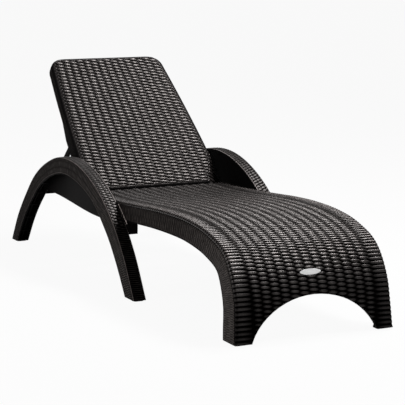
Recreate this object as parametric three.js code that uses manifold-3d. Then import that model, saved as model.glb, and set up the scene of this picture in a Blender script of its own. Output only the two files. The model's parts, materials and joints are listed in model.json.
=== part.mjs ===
// Moulded plastic sun lounger with a reclining back, in millimetres.
// X runs across the lounger, +Y from the foot end towards the head, +Z up from the floor.
// The foot end is at y = 0 while the pieces are worked out; the finished group is centred on its length.

import * as THREE from 'three';
import { mergeVertices } from 'three/addons/utils/BufferGeometryUtils.js';
import Module from 'manifold-3d';

const wasm = await Module();
wasm.setup();

// Driving dimensions of the whole lounger
const overallWidth = 710;
const overallLength = 1896;
const seatHeight = 354;
const backLength = 690;
const reclineAngle = THREE.MathUtils.degToRad(41.7);
const uprightAngle = THREE.MathUtils.degToRad(63);

// Main proportions, as shares of the driving dimensions
const seatWidthShare = 0.869;
const seatLengthShare = 0.6361;
const railHeightShare = 0.726;
const armLengthShare = 0.6382;
const armHeightShare = 1.209;
const archHeightShare = 0.41;
const badgeHeightShare = 0.61;
const memberPlaceShare = 0.7007;
const rearBarPlaceShare = 0.8355;
const flangeFootShare = 0.723;
const flangeTopShare = 0.898;
const backFootWidthShare = 0.8211;
const backHeadWidthShare = 0.7127;
const propPivotShare = 0.44;
const propLengthShare = 0.4348;
const propBraceShare = 0.6;

// Walls and clearances shared by the mouldings
const wall = 5.5;
const ribThickness = 4;
const jointGap = 0.3;
const turningGap = 1;
const slipGap = 0.5;
const overlap = 1;
const cutMargin = 40;
const weld = 0.001;

// Seat and foot moulding
const toeDepth = 86;
const rearRailDepth = 56;
const edgeRadius = 10;
const seatRibDepth = 26;
const seatCrossRibs = 9;
const seatLongRibs = 5;
const toeWidth = 49.5;
const archCentreDepth = 60;
const archFlangeDepth = 12;
const toePlateWidth = 64;
const toePlateLength = 28;
const toeTailWidth = 18;
const hingeEarRadius = 22;
const rearWallDepth = 66;

// Arm mouldings
const armFaceThickness = 5;
const armPlate = 5.5;
const armEdgeBevel = 3;
const armRibPitch = 84;
const armRibInset = 9;
const keelRibThickness = 4;
const keelRibInset = 14;
const footPlate = 5;
const flangeLength = 27;
const lugWidth = 37;
const lugLength = 62;
const lugHeight = 35;

// Backrest moulding and its hinge
const frontFaceHeight = 24;
const backStartLength = 20;
const hingeClearance = 21;
const hingeDepth = 26;
const headCornerRadius = 68;
const footCornerRadius = 52;
const sideBulgeWidth = 11;
const skirtDepthAtHead = 42;
const skirtDepthAtFoot = 59;
const backRibDepth = 8;
const backRibPitch = 92;
const cheekWidth = 65;
const cheekLength = 171;
const cheekDepth = 42;
const hingeArmRadius = 15;
const hingePinRadius = 6;
const pinHeadRadius = 10;
const pinHeadHeight = 4;

// Prop that holds the back up, and the racks it stands in
const propPivotDepth = 27;
const propAngle = THREE.MathUtils.degToRad(-85.7);
const propTurnRatio = -1.06;
const propLegInset = 62.5;
const propLegThickness = 12;
const propLegWidth = 22;
const propBarRadius = 8;
const propBraceRadius = 6;
const propPinRadius = 5;
const lugPlate = 4;
const rackClearance = 11;
const rackWidth = 14;
const rackWeb = 5;
const rackNotchDepth = 7;
const rackToothClearance = 0.8;
const rackTopDepth = 16;
const rackFootDepth = 43;
const rackSlopeLength = 50;
const rackEndLength = 26;
const rackFlangeWidth = 34;
const rackBoltOffset = 13;

// Cross members
const frontMemberLength = 60;
const frontMemberHeight = 22;
const rearBarLength = 28;
const rearBarHeight = 24;
const rearBarDepth = 36;
const tubeWall = 3;
const tubeEndPlate = 6;
const tubeCorner = 5;

// Fasteners, glides and the oval plate
const boltRadius = 4;
const boltHeadRadius = 7;
const boltHeadHeight = 5;
const bossRadius = 9;
const bossLength = 16;
const glideHeight = 3;
const glideStudRadius = 5;
const glideStudHeight = 9;
const glideInset = 7;
const badgeWidth = 83;
const badgeHeight = 22;
const badgeThickness = 3;
const badgeStudRadius = 2;
const badgeStudSpread = 26;
const badgeStudLength = 7;

// Outlines in shares of the driving dimensions: [along, up]
const seatLineShares = [
  [0, 0], [0.0265, 0.486], [0.0862, 0.797], [0.183, 0.935], [0.299, 0.994], [0.42, 1],
  [0.538, 0.98], [0.651, 0.946], [0.758, 0.915], [0.871, 0.892], [1, 0.881],
];
const seatWidthShares = [
  [0, 1.006], [0.1, 0.986], [0.25, 0.973], [0.42, 0.979], [0.58, 0.995], [0.68, 1], [1, 1],
];
const armTopShares = [
  [1, 0], [0.9405, 0.28], [0.8686, 0.521], [0.7909, 0.7336], [0.6959, 0.8902], [0.5835, 0.993],
  [0.4554, 1], [0.3231, 0.8995], [0.1983, 0.6986], [0.0909, 0.3925], [0, 0],
];
const armUnderShares = [
  [0.9504, 0], [0.8851, 0.2687], [0.8099, 0.4953], [0.7298, 0.6822], [0.638, 0.799],
  [0.5388, 0.8551], [0.4331, 0.8248], [0.319, 0.722], [0.25, 0.59],
];
const legBackShares = [[0.0645, 0], [0.1231, 0.2313], [0.187, 0.439], [0.2537, 0.601]];
const notchShares = [0, 0.34, 0.67, 1];
const armBoltShares = [0.79, 0.88, 0.965];
const sweepShares = [0.247, 0.747];
const seatRibShares = [0.17, 0.93];
const longRibShares = [0.12, 1];
const archFlangeShares = [-0.02, 0.3];
const toeSoleShares = [-0.02, 0.2];
const badgeSearchShare = 0.0005;

// Places worked out from the sizes above
const seatWidth = overallWidth * seatWidthShare;
const seatLength = overallLength * seatLengthShare;
const armReach = overallLength * armLengthShare;
const armHeight = seatHeight * armHeightShare;
const armToe = overallLength - armReach;
const halfSeat = seatWidth / 2;
const halfOverall = overallWidth / 2;
const armInner = halfSeat - armPlate;
const seatInArms = armInner - jointGap;
const seatEndHeight = seatHeight * seatLineShares.at(-1)[1];
const archHalfWidth = halfSeat - toeWidth;
const archHeight = seatHeight * archHeightShare;
const railLine = seatHeight * railHeightShare;
const lugFront = seatLength * memberPlaceShare;
const lugTop = railLine - wall;
const lugBottom = lugTop - lugHeight;
const sweepStart = armToe + armReach * sweepShares[0];
const sweepEnd = armToe + armReach * sweepShares[1];
const flangeFoot = seatHeight * flangeFootShare;
const flangeTop = seatHeight * flangeTopShare;
const hingeY = seatLength + hingeClearance;
const hingeZ = seatEndHeight - hingeDepth;
const backWidthAtFoot = overallWidth * backFootWidthShare;
const backWidthAtHead = overallWidth * backHeadWidthShare;
const propPivotY = backStartLength + backLength * propPivotShare;
const propPivotZ = frontFaceHeight - propPivotDepth;
const propLength = backLength * propLengthShare;
const propLegOuter = halfSeat - propLegInset;
const propLegInner = propLegOuter - propLegThickness;
const rackOuter = propLegInner - rackClearance;
const rackMiddle = rackOuter - rackWidth / 2;
const rackBoltX = rackMiddle - rackBoltOffset;
const rackTop = hingeZ - rackTopDepth;
const rackFoot = hingeZ - rackFootDepth;
const rearBarCentre = armToe + armReach * rearBarPlaceShare;
const rearBarTop = hingeZ - rearBarDepth;
const rearBarMiddle = rearBarTop - rearBarHeight / 2;
const shellFloor = glideHeight + jointGap;

// Colours of the mouldings
const anthracite = 0x26262a;
const charcoal = 0x1d1d20;
const graphite = 0x151517;
const steelGrey = 0x8d9094;
const rubberBlack = 0x0c0c0d;
const plateWhite = 0xe9e9e6;

function material(color, roughness = 0.5, metalness = 0) {
  return new THREE.MeshStandardMaterial({ color, roughness, metalness });
}

// Conversions between three.js geometry and solids that can be joined and cut
function solidOf(geometry) {
  const bare = geometry.clone();
  bare.deleteAttribute('normal');
  bare.deleteAttribute('uv');
  const merged = mergeVertices(bare, weld);
  const vertProperties = new Float32Array(merged.getAttribute('position').array);
  const triVerts = new Uint32Array(merged.getIndex().array);
  return new wasm.Manifold(new wasm.Mesh({ numProp: 3, vertProperties, triVerts }));
}

function geometryOf(solid) {
  const mesh = solid.getMesh();
  const geometry = new THREE.BufferGeometry();
  const positions = new Float32Array(mesh.vertProperties);
  geometry.setAttribute('position', new THREE.BufferAttribute(positions, mesh.numProp));
  geometry.setIndex(new THREE.BufferAttribute(new Uint32Array(mesh.triVerts), 1));
  geometry.computeVertexNormals();
  return geometry;
}

function joined(solids) {
  return solids.reduce((sum, solid) => sum.add(solid));
}

function carved(solid, tools) {
  return tools.reduce((rest, tool) => rest.subtract(tool), solid);
}

function mirrored(solid) {
  return solid.mirror([1, 0, 0]);
}

// A smooth line through shares of a length and a height, as [y, z] points
function sharedCurve(shares, startY, length, height) {
  const knots = shares.map(([along, up]) => new THREE.Vector3(0, startY + along * length, up * height));
  return new THREE.CatmullRomCurve3(knots, false, 'centripetal');
}

function pointsOf(curve, count) {
  return curve.getSpacedPoints(count).map((point) => [point.y, point.z]);
}

// The line moved sideways by a distance, to the right of its direction when seen with Y right and Z up
function offsetLine(points, distance) {
  return points.map((point, index) => {
    const before = points[Math.max(index - 1, 0)];
    const after = points[Math.min(index + 1, points.length - 1)];
    const along = new THREE.Vector2(after[0] - before[0], after[1] - before[1]).normalize();
    return [point[0] + along.y * distance, point[1] - along.x * distance];
  });
}

function shapeOf(points) {
  return new THREE.Shape(points.map(([u, v]) => new THREE.Vector2(u, v)));
}

function extrusion(points, depth) {
  return new THREE.ExtrudeGeometry(shapeOf(points), { depth, bevelEnabled: false });
}

const sideBasis = new THREE.Matrix4().makeBasis(
  new THREE.Vector3(0, 1, 0), new THREE.Vector3(0, 0, 1), new THREE.Vector3(1, 0, 0));
const frontBasis = new THREE.Matrix4().makeBasis(
  new THREE.Vector3(1, 0, 0), new THREE.Vector3(0, 0, 1), new THREE.Vector3(0, -1, 0));

// A side view outline of [y, z] points, made solid from one x to another
function sideSlab(points, fromX, toX) {
  const geometry = extrusion(points, toX - fromX);
  geometry.applyMatrix4(sideBasis).translate(fromX, 0, 0);
  return solidOf(geometry);
}

// A front view outline of [x, z] points, made solid from one y to another
function frontSlab(points, fromY, toY) {
  const geometry = extrusion(points, toY - fromY);
  geometry.applyMatrix4(frontBasis).translate(0, toY, 0);
  return solidOf(geometry);
}

// A plan view outline of [x, y] points, made solid from one z to another
function planSlab(points, fromZ, toZ) {
  const geometry = extrusion(points, toZ - fromZ);
  geometry.translate(0, 0, fromZ);
  return solidOf(geometry);
}

function box(fromX, toX, fromY, toY, fromZ, toZ) {
  const geometry = new THREE.BoxGeometry(toX - fromX, toY - fromY, toZ - fromZ);
  geometry.translate((fromX + toX) / 2, (fromY + toY) / 2, (fromZ + toZ) / 2);
  return solidOf(geometry);
}

// A round bar along X between two places, at a given [y, z]
function barAcross(radius, fromX, toX, y, z, sides = 16) {
  const geometry = new THREE.CylinderGeometry(radius, radius, toX - fromX, sides);
  geometry.rotateZ(Math.PI / 2).translate((fromX + toX) / 2, y, z);
  return solidOf(geometry);
}

function barUpright(radius, x, y, fromZ, toZ, sides = 16) {
  const geometry = new THREE.CylinderGeometry(radius, radius, toZ - fromZ, sides);
  geometry.rotateX(Math.PI / 2).translate(x, y, (fromZ + toZ) / 2);
  return solidOf(geometry);
}

// A solid between closed rings of equal point counts, with flat ends
function loft(rings, outline) {
  const count = outline.length;
  const positions = rings.flat().flatMap((point) => [point.x, point.y, point.z]);
  const index = [];
  for (let ring = 0; ring + 1 < rings.length; ring += 1) {
    for (let k = 0; k < count; k += 1) {
      const a = ring * count + k;
      const b = ring * count + ((k + 1) % count);
      index.push(a, b, b + count, a, b + count, a + count);
    }
  }
  const caps = THREE.ShapeUtils.triangulateShape(outline, []);
  const last = (rings.length - 1) * count;
  for (const [a, b, c] of caps) {
    index.push(a, b, c, last + a, last + c, last + b);
  }
  const geometry = new THREE.BufferGeometry();
  geometry.setAttribute('position', new THREE.Float32BufferAttribute(positions, 3));
  geometry.setIndex(index);
  return solidOf(geometry);
}

function shareAt(table, along) {
  const upper = Math.max(1, table.findIndex(([place]) => place >= along));
  const [fromPlace, fromValue] = table[upper - 1];
  const [toPlace, toValue] = table[upper];
  const blend = THREE.MathUtils.smoothstep(along, fromPlace, toPlace);
  return THREE.MathUtils.lerp(fromValue, toValue, blend);
}

// The seat line: one curve from the toes, over the knee and back to the hinge
const seatCurve = sharedCurve(seatLineShares, 0, seatLength, seatHeight);
const seatStations = 44;

function seatFrame(along) {
  const inside = THREE.MathUtils.clamp(along, 0, 1);
  const point = seatCurve.getPointAt(inside);
  const tangent = seatCurve.getTangentAt(inside);
  const inward = new THREE.Vector3(0, tangent.z, -tangent.y);
  point.addScaledVector(tangent, (along - inside) * seatCurve.getLength());
  return { point, tangent, inward };
}

function seatHalfWidth(along) {
  return halfSeat * shareAt(seatWidthShares, THREE.MathUtils.clamp(along, 0, 1));
}

function railDepth(along) {
  return THREE.MathUtils.lerp(toeDepth, rearRailDepth, THREE.MathUtils.clamp(along, 0, 1));
}

// A section of [x, depth] points swept along the seat line
function seatSweep(sectionAt, fromShare, toShare, steps = seatStations) {
  const rings = [];
  for (let step = 0; step <= steps; step += 1) {
    const along = THREE.MathUtils.lerp(fromShare, toShare, step / steps);
    const { point, inward } = seatFrame(along);
    rings.push(sectionAt(along).map(([x, depth]) => {
      const place = point.clone().addScaledVector(inward, depth);
      place.x = x;
      return place;
    }));
  }
  const outline = sectionAt(fromShare).map(([x, depth]) => new THREE.Vector2(x, -depth));
  return loft(rings, outline);
}

// Points on an arc round a centre, from one angle to another
function arcPoints(centreU, centreV, radius, fromAngle, toAngle, steps) {
  return Array.from({ length: steps + 1 }, (_, step) => {
    const turn = THREE.MathUtils.lerp(fromAngle, toAngle, step / steps);
    return [centreU + radius * Math.cos(turn), centreV + radius * Math.sin(turn)];
  });
}

// The two rounded upper corners of a section, as [x, depth] from left to right
function cornerRound(halfWidth, top, radius, steps) {
  const left = arcPoints(radius - halfWidth, top + radius, radius, Math.PI, Math.PI * 3 / 2, steps);
  const right = arcPoints(halfWidth - radius, top + radius, radius, -Math.PI / 2, 0, steps);
  return [...left, ...right];
}

function shellSection(along) {
  const half = seatHalfWidth(along);
  const depth = railDepth(along);
  const outer = [[-half, depth], ...cornerRound(half, 0, edgeRadius, 3), [half, depth]];
  const innerCorners = cornerRound(half - wall, wall, edgeRadius - wall, 1);
  const inner = [[wall - half, depth], ...innerCorners, [half - wall, depth]];
  return [...outer, ...inner.reverse()];
}

function slabSection(fromX, toX, fromDepth, toDepth) {
  return [[fromX, toDepth], [fromX, fromDepth], [toX, fromDepth], [toX, toDepth]];
}

function seatPlaceAtY(y) {
  let low = 0;
  let high = 1;
  for (let turn = 0; turn < 30; turn += 1) {
    const middle = (low + high) / 2;
    if (seatCurve.getPointAt(middle).y < y) low = middle;
    else high = middle;
  }
  return low;
}

// Oval foot arch, seen from the front
function archOutline(grow) {
  const half = archHalfWidth + grow;
  const rise = archHeight + archCentreDepth + grow;
  const steps = 28;
  return Array.from({ length: steps + 1 }, (_, step) => {
    const turn = (step / steps) * Math.PI;
    return [half * Math.cos(turn), rise * Math.sin(turn) - archCentreDepth];
  });
}

function hexHead(fromX, toX, y, z) {
  return barAcross(boltHeadRadius, fromX, toX, y, z, 6);
}

// Bolts that hold each arm to the seat rail, as [y, z]
const armBolts = armBoltShares.map((share) => [share * seatLength, railLine + rearRailDepth / 2]);

function makeSeatShell() {
  const toeStart = -glideHeight * 2 / seatCurve.getLength();
  const shell = seatSweep(shellSection, toeStart, 1);
  const skin = wall - overlap;
  const parts = [shell];
  for (let rib = 0; rib < seatLongRibs; rib += 1) {
    const x = ((rib + 1) / (seatLongRibs + 1) - 1 / 2) * seatWidth;
    const section = () => slabSection(x - ribThickness / 2, x + ribThickness / 2, skin, seatRibDepth);
    parts.push(seatSweep(section, ...longRibShares, seatStations / 2));
  }
  for (let rib = 0; rib < seatCrossRibs; rib += 1) {
    const along = THREE.MathUtils.lerp(...seatRibShares, rib / (seatCrossRibs - 1));
    parts.push(crossWall(along, ribThickness, skin, seatRibDepth));
  }
  const rearAlong = 1 - wall / seatCurve.getLength();
  parts.push(crossWall(rearAlong + wall / 2 / seatCurve.getLength(), wall, skin, rearWallDepth));
  parts.push(...archFlange());
  parts.push(...toePlates());
  const armStart = seatPlaceAtY(lugFront - cutMargin);
  for (const side of [-1, 1]) {
    const inner = seatInArms - wall;
    const outer = seatInArms + overlap;
    const plate = (along) => slabSection(
      Math.min(side * inner, side * outer), Math.max(side * inner, side * outer), skin, railDepth(along));
    parts.push(seatSweep(plate, armStart, 1, seatStations / 4));
    const ear = earOutline();
    const edges = [side * inner, side * seatInArms];
    parts.push(sideSlab(ear, Math.min(...edges), Math.max(...edges)));
  }
  const cuts = [frontSlab(archOutline(0), -cutMargin, toeDepth + cutMargin)];
  cuts.push(box(-halfOverall, halfOverall, -cutMargin, seatLength, -cutMargin, shellFloor));
  for (const side of [-1, 1]) {
    const rebate = sideSlab(rebateOutline(), seatInArms, halfOverall);
    cuts.push(side > 0 ? rebate : mirrored(rebate));
    for (const [y, z] of armBolts) {
      const holeStart = seatInArms - wall - cutMargin;
      const hole = barAcross(boltRadius + slipGap, holeStart, halfSeat + overlap, y, z);
      cuts.push(side > 0 ? hole : mirrored(hole));
    }
    const pinHoleStart = seatInArms - wall - overlap;
    const pinHole = barAcross(hingePinRadius + slipGap, pinHoleStart, halfSeat, hingeY, hingeZ);
    cuts.push(side > 0 ? pinHole : mirrored(pinHole));
    const stud = badgeFrame();
    const geometry = new THREE.CylinderGeometry(
      badgeStudRadius + jointGap, badgeStudRadius + jointGap, badgeStudLength * 4, 12);
    geometry.rotateX(Math.PI / 2).translate(side * badgeStudSpread, 0, 0).applyMatrix4(stud);
    cuts.push(solidOf(geometry));
    cuts.push(barUpright(glideStudRadius + jointGap, side * toeGlideX(), toePlateLength, 0, cutMargin));
  }
  return carved(joined(parts), cuts);
}

// A wall across the shell at one place of the seat line
function crossWall(along, thickness, fromDepth, toDepth) {
  const { point, tangent, inward } = seatFrame(along);
  const half = seatHalfWidth(along) - wall + overlap;
  const geometry = new THREE.BoxGeometry(half * 2, thickness, toDepth - fromDepth);
  const outward = inward.clone().negate();
  const basis = new THREE.Matrix4().makeBasis(new THREE.Vector3(1, 0, 0), tangent, outward);
  geometry.applyMatrix4(basis);
  const middle = point.clone().addScaledVector(inward, (fromDepth + toDepth) / 2);
  geometry.translate(0, middle.y, middle.z);
  return solidOf(geometry);
}

// A lip that follows the foot arch behind the front face
function archFlange() {
  const slab = seatSweep(
    (along) => slabSection(-seatHalfWidth(along) + overlap, seatHalfWidth(along) - overlap,
      overlap, archFlangeDepth), ...archFlangeShares, seatStations / 2);
  const ring = frontSlab(archOutline(wall), -cutMargin, toeDepth).subtract(
    frontSlab(archOutline(-overlap), -cutMargin * 2, toeDepth + cutMargin));
  return [slab.intersect(ring)];
}

// Sole plates that close the two toes above their glides, narrow towards the rear
function toePlates() {
  const filled = seatSweep(
    (along) => slabSection(-seatHalfWidth(along) + overlap, seatHalfWidth(along) - overlap,
      overlap, railDepth(along) - overlap), ...toeSoleShares, seatStations / 4);
  const outline = [[halfSeat - toePlateWidth, -cutMargin], [halfOverall, -cutMargin],
    [halfOverall, toeDepth + cutMargin], [halfSeat - toeTailWidth, toeDepth + cutMargin],
    [halfSeat - toeTailWidth, toeDepth], [halfSeat - toePlateWidth, toePlateLength]];
  const sole = planSlab(outline, 0, shellFloor + footPlate).intersect(filled);
  return [sole, mirrored(sole)];
}

// Ear at the rear end of each rail, around the hinge pin
function earOutline() {
  const start = seatLength - hingeEarRadius * 2;
  const round = arcPoints(hingeY, hingeZ, hingeEarRadius, -Math.PI / 2, Math.PI / 2, 10);
  return [[start, hingeZ - hingeEarRadius], ...round, [start, hingeZ + hingeEarRadius]];
}

// Front edge of the arm's fixing plate, parallel to the leg
function flangeLine(z) {
  const lean = armTopPlaceAt(flangeTop) - armTopPlaceAt(flangeFoot);
  const share = (z - flangeFoot) / (flangeTop - flangeFoot);
  return armTopPlaceAt(flangeFoot) - flangeLength + share * lean;
}

function rebateOutline() {
  const low = railLine - cutMargin;
  const high = seatHeight + cutMargin;
  const rear = hingeY + cutMargin * 2;
  const front = [flangeLine(low) - jointGap, flangeLine(high) - jointGap];
  return [[front[0], low], [rear, low], [rear, high], [front[1], high]];
}

// The arm arch
const armTopCurve = sharedCurve(armTopShares, armToe, armReach, armHeight);
const armUnderCurve = sharedCurve(armUnderShares, armToe, armReach, armHeight);
const legBackCurve = sharedCurve(legBackShares, armToe, armReach, armHeight);
const armTopLine = pointsOf(armTopCurve, 40);
const armUnderLine = pointsOf(armUnderCurve, 26);
const legBackLine = pointsOf(legBackCurve, 8);

// y of the arm's front edge at a height
function armTopPlaceAt(z) {
  for (let k = armTopLine.length - 1; k > 0; k -= 1) {
    const [y0, z0] = armTopLine[k];
    const [y1, z1] = armTopLine[k - 1];
    if (z >= z0 && z <= z1) return THREE.MathUtils.mapLinear(z, z0, z1, y0, y1);
  }
  return armToe;
}

// Whole side view of the arm with its web: over the arch, down the front leg, along the rail line
function armOutline() {
  const rearUnder = armUnderLine.filter(([y, z]) => z < railLine && y > armToe + armReach / 2);
  const behind = armUnderLine[rearUnder.length];
  const [y, z] = rearUnder.at(-1);
  const webEnd = [THREE.MathUtils.mapLinear(railLine, z, behind[1], y, behind[0]), railLine];
  return [...armTopLine, ...legBackLine, webEnd, ...rearUnder.reverse()];
}

// The arch and its two legs alone, without the web
function archBandOutline() {
  return [...armTopLine, ...legBackLine, ...armUnderLine.slice().reverse()];
}

function isInside(points, y, z) {
  let inside = false;
  for (let k = 0, j = points.length - 1; k < points.length; j = k, k += 1) {
    const [y0, z0] = points[k];
    const [y1, z1] = points[j];
    if ((z0 > z) !== (z1 > z) && y < ((y1 - y0) * (z - z0)) / (z1 - z0) + y0) inside = !inside;
  }
  return inside;
}

// Right arm; the left one is its mirror image
function makeArm() {
  const outline = armOutline();
  const band = archBandOutline();
  const rim = [...armTopLine, ...offsetLine(armTopLine, -armFaceThickness).reverse()];
  const innerLine = offsetLine(armTopLine, -overlap);
  const parts = [];
  parts.push(sideSlab(outline, armInner, armInner + armPlate));
  parts.push(sideSlab(band, halfOverall - armFaceThickness, halfOverall));
  parts.push(sideSlab(rim, armInner, halfOverall));
  const keel = sideSlab(keelOutline(), (armInner + halfOverall - keelRibThickness) / 2,
    (armInner + halfOverall + keelRibThickness) / 2);
  parts.push(keel);
  parts.push(...armRibs(innerLine));
  parts.push(...solePlates());
  parts.push(sweptPanel(outline));
  for (const [y, z] of armBolts) {
    parts.push(barAcross(bossRadius, armInner + overlap, armInner + armPlate + bossLength, y, z));
  }
  const arch = joined(parts).intersect(softEdged(outline));
  const cuts = [box(0, halfOverall * 2, 0, overallLength * 2, -cutMargin, shellFloor)];
  for (const [y, z] of armBolts) {
    cuts.push(barAcross(boltRadius + jointGap, armInner - overlap, armInner + bossLength, y, z));
  }
  cuts.push(barAcross(boltRadius + jointGap, armInner - overlap, armInner + armPlate + overlap,
    rearBarCentre, rearBarMiddle));
  for (const y of [frontLegY(), rearLegY()]) {
    cuts.push(barUpright(glideStudRadius + jointGap, legGlideX(), y, 0, cutMargin));
  }
  cuts.push(barUpright(boltRadius + slipGap, lugBoltX(), lugBoltY(), lugBottom, lugTop + overlap));
  return carved(joined([arch, fixingFlange(), seatLug()]), cuts);
}

// The arm's whole space with its long edges bevelled
function softEdged(outline) {
  const shape = shapeOf(outline);
  const geometry = new THREE.ExtrudeGeometry(shape, {
    depth: halfOverall - armInner - armEdgeBevel * 2, bevelEnabled: true, bevelSegments: 1,
    bevelThickness: armEdgeBevel, bevelSize: armEdgeBevel, bevelOffset: -armEdgeBevel,
  });
  geometry.applyMatrix4(sideBasis).translate(armInner + armEdgeBevel, 0, 0);
  return solidOf(geometry);
}

function legGlideX() {
  return (armInner + halfOverall) / 2;
}

function frontLegY() {
  return (armTopLine.at(-1)[0] + legBackLine[0][0]) / 2;
}

function rearLegY() {
  return (armTopLine[0][0] + armUnderLine[0][0]) / 2;
}

function toeGlideX() {
  return halfSeat - toePlateWidth / 2 + wall;
}

function lugBoltX() {
  return armInner - lugWidth / 2;
}

function lugBoltY() {
  return lugFront + lugLength / 2;
}

// Rib along the middle of the arch, set back from its open underside
function keelOutline() {
  const under = offsetLine(armUnderLine, keelRibInset);
  const reach = under.filter(([y]) => y > sweepStart);
  const top = offsetLine(armTopLine, -overlap).filter(([y]) => y > sweepStart);
  return [...top, ...reach.reverse()];
}

// Cross ribs that stiffen the hollow arch and legs, square to the arch
function armRibs(line) {
  const ribs = [];
  const curve = armTopCurve;
  const count = Math.floor(curve.getLength() / armRibPitch);
  for (let rib = 1; rib < count; rib += 1) {
    const along = rib / count;
    const point = curve.getPointAt(along);
    const tangent = curve.getTangentAt(along);
    const inward = new THREE.Vector3(0, -tangent.z, tangent.y);
    const reach = ribReach(point, inward);
    if (reach <= armFaceThickness) continue;
    const across = halfOverall - armInner - overlap * 2;
    const geometry = new THREE.BoxGeometry(across, ribThickness, reach - overlap);
    const basis = new THREE.Matrix4().makeBasis(
      new THREE.Vector3(1, 0, 0), tangent.clone().negate(), inward.clone().negate());
    geometry.applyMatrix4(basis);
    const middle = point.clone().addScaledVector(inward, (reach + overlap) / 2);
    geometry.translate((armInner + halfOverall) / 2, middle.y, middle.z);
    ribs.push(solidOf(geometry));
  }
  return ribs;
}

// How far a rib may reach under the arch before it would show past the open edge
function ribReach(point, inward) {
  const outline = archBandOutline();
  let reach = 0;
  while (reach < armHeight) {
    const probe = point.clone().addScaledVector(inward, reach + armRibInset);
    if (reach > 0 && !isInside(outline, probe.y, probe.z)) break;
    reach += overlap;
  }
  return Math.min(reach, toeDepth);
}

// Sole plates of the two legs, above their glides
function solePlates() {
  const legs = sideSlab(archBandOutline(), armInner + overlap, halfOverall - overlap);
  const rear = overallLength + cutMargin;
  const soles = box(0, halfOverall, armToe - cutMargin, rear, 0, shellFloor + footPlate);
  return [legs.intersect(soles)];
}

// Panel that sweeps from the outer face of the front leg to the inner plate behind it
function sweptPanel(outline) {
  const steps = 18;
  const outerLine = Array.from({ length: steps + 1 }, (_, step) => {
    const y = THREE.MathUtils.lerp(sweepStart, sweepEnd, step / steps);
    const ease = THREE.MathUtils.smoothstep(y, sweepStart, sweepEnd);
    return [THREE.MathUtils.lerp(halfOverall - overlap, armInner + armPlate, ease), y];
  });
  const innerLine = outerLine.map(([x, y]) => [x - armFaceThickness, y]).reverse();
  const sheet = planSlab([...outerLine, ...innerLine], railLine - cutMargin, armHeight + cutMargin);
  const under = sideSlab(outline, armInner + overlap, halfOverall - overlap);
  const core = [...armTopLine, ...offsetLine(armUnderLine, armRibInset * 2).reverse()];
  return sheet.intersect(under).subtract(sideSlab(core, armInner, halfOverall));
}

// Plate in front of the arch that lies on the seat rail
function fixingFlange() {
  const outline = [
    [flangeLine(flangeFoot), flangeFoot],
    [armTopPlaceAt(flangeFoot) + armFaceThickness, flangeFoot],
    [armTopPlaceAt(flangeTop) + armFaceThickness, flangeTop], [flangeLine(flangeTop), flangeTop]];
  return sideSlab(outline, armInner, armInner + armPlate);
}

// Hollow lug under the rail that carries the cross member
function seatLug() {
  const lugRear = lugFront + lugLength;
  const outer = box(armInner - lugWidth, armInner + overlap, lugFront, lugRear, lugBottom, lugTop);
  const pocket = box(armInner - lugWidth + ribThickness, armInner - ribThickness, lugFront + ribThickness,
    lugFront + lugLength - ribThickness, lugBottom - overlap, lugTop - wall);
  return outer.subtract(pocket);
}

// Backrest, in its own frame: Y along the panel from the hinge, Z out of its front face
function backOutline(inset) {
  const start = backStartLength + inset;
  const end = backStartLength + backLength - inset;
  const footHalf = backWidthAtFoot / 2 - inset;
  const headHalf = backWidthAtHead / 2 - inset;
  const footRound = footCornerRadius - inset;
  const headRound = headCornerRadius - inset;
  const sideHalf = (footHalf + headHalf) / 2 + sideBulgeWidth;
  const middle = (start + footRound + end - headRound) / 2;
  const shape = new THREE.Shape();
  shape.moveTo(-footHalf + footRound, start);
  shape.lineTo(footHalf - footRound, start);
  shape.quadraticCurveTo(footHalf, start, footHalf, start + footRound);
  shape.quadraticCurveTo(sideHalf, middle, headHalf, end - headRound);
  shape.quadraticCurveTo(headHalf, end, headHalf - headRound, end);
  shape.lineTo(-headHalf + headRound, end);
  shape.quadraticCurveTo(-headHalf, end, -headHalf, end - headRound);
  shape.quadraticCurveTo(-sideHalf, middle, -footHalf, start + footRound);
  shape.quadraticCurveTo(-footHalf, start, -footHalf + footRound, start);
  return shape;
}

function backBlock(inset, fromZ, toZ, bevel) {
  const geometry = new THREE.ExtrudeGeometry(backOutline(inset), {
    depth: toZ - fromZ - bevel, curveSegments: 7, bevelEnabled: bevel > 0,
    bevelThickness: bevel, bevelSize: bevel, bevelOffset: -bevel, bevelSegments: 2,
  });
  geometry.translate(0, 0, fromZ);
  return solidOf(geometry);
}

// The folded back lower corners: everything in front of a slanted plane
function cheekCut(side, inset) {
  const crease = [
    new THREE.Vector3(backWidthAtFoot / 2 - cheekWidth, backStartLength, frontFaceHeight),
    new THREE.Vector3(backWidthAtFoot / 2, backStartLength + cheekLength, frontFaceHeight),
    new THREE.Vector3(backWidthAtFoot / 2, backStartLength, frontFaceHeight - cheekDepth),
  ];
  const middle = crease[0].clone().add(crease[1]).multiplyScalar(1 / 2);
  const along = crease[1].clone().sub(crease[0]).normalize();
  const normal = along.clone().cross(crease[2].clone().sub(crease[0])).normalize();
  if (normal.z < 0) normal.negate();
  const across = normal.clone().cross(along);
  const geometry = new THREE.BoxGeometry(backLength, backLength, backLength);
  geometry.translate(0, 0, backLength / 2 - inset);
  geometry.applyMatrix4(new THREE.Matrix4().makeBasis(along, across, normal).setPosition(middle));
  const solid = solidOf(geometry);
  return side > 0 ? solid : mirrored(solid);
}

// Rear edge of the skirts: deep at the hinge, shallower from the prop up to the head
function skirtCut() {
  const start = backStartLength;
  const head = frontFaceHeight - skirtDepthAtHead;
  const foot = frontFaceHeight - skirtDepthAtFoot;
  const change = propPivotY - backStartLength;
  const beyond = start + backLength + cutMargin;
  const below = foot - cutMargin * 2;
  const outline = [
    [-cutMargin, below], [beyond, below], [beyond, head], [start + change + cutMargin * 2, head], [start + change, foot],
    [-cutMargin, foot]];
  return sideSlab(outline, -halfOverall, halfOverall);
}

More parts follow.
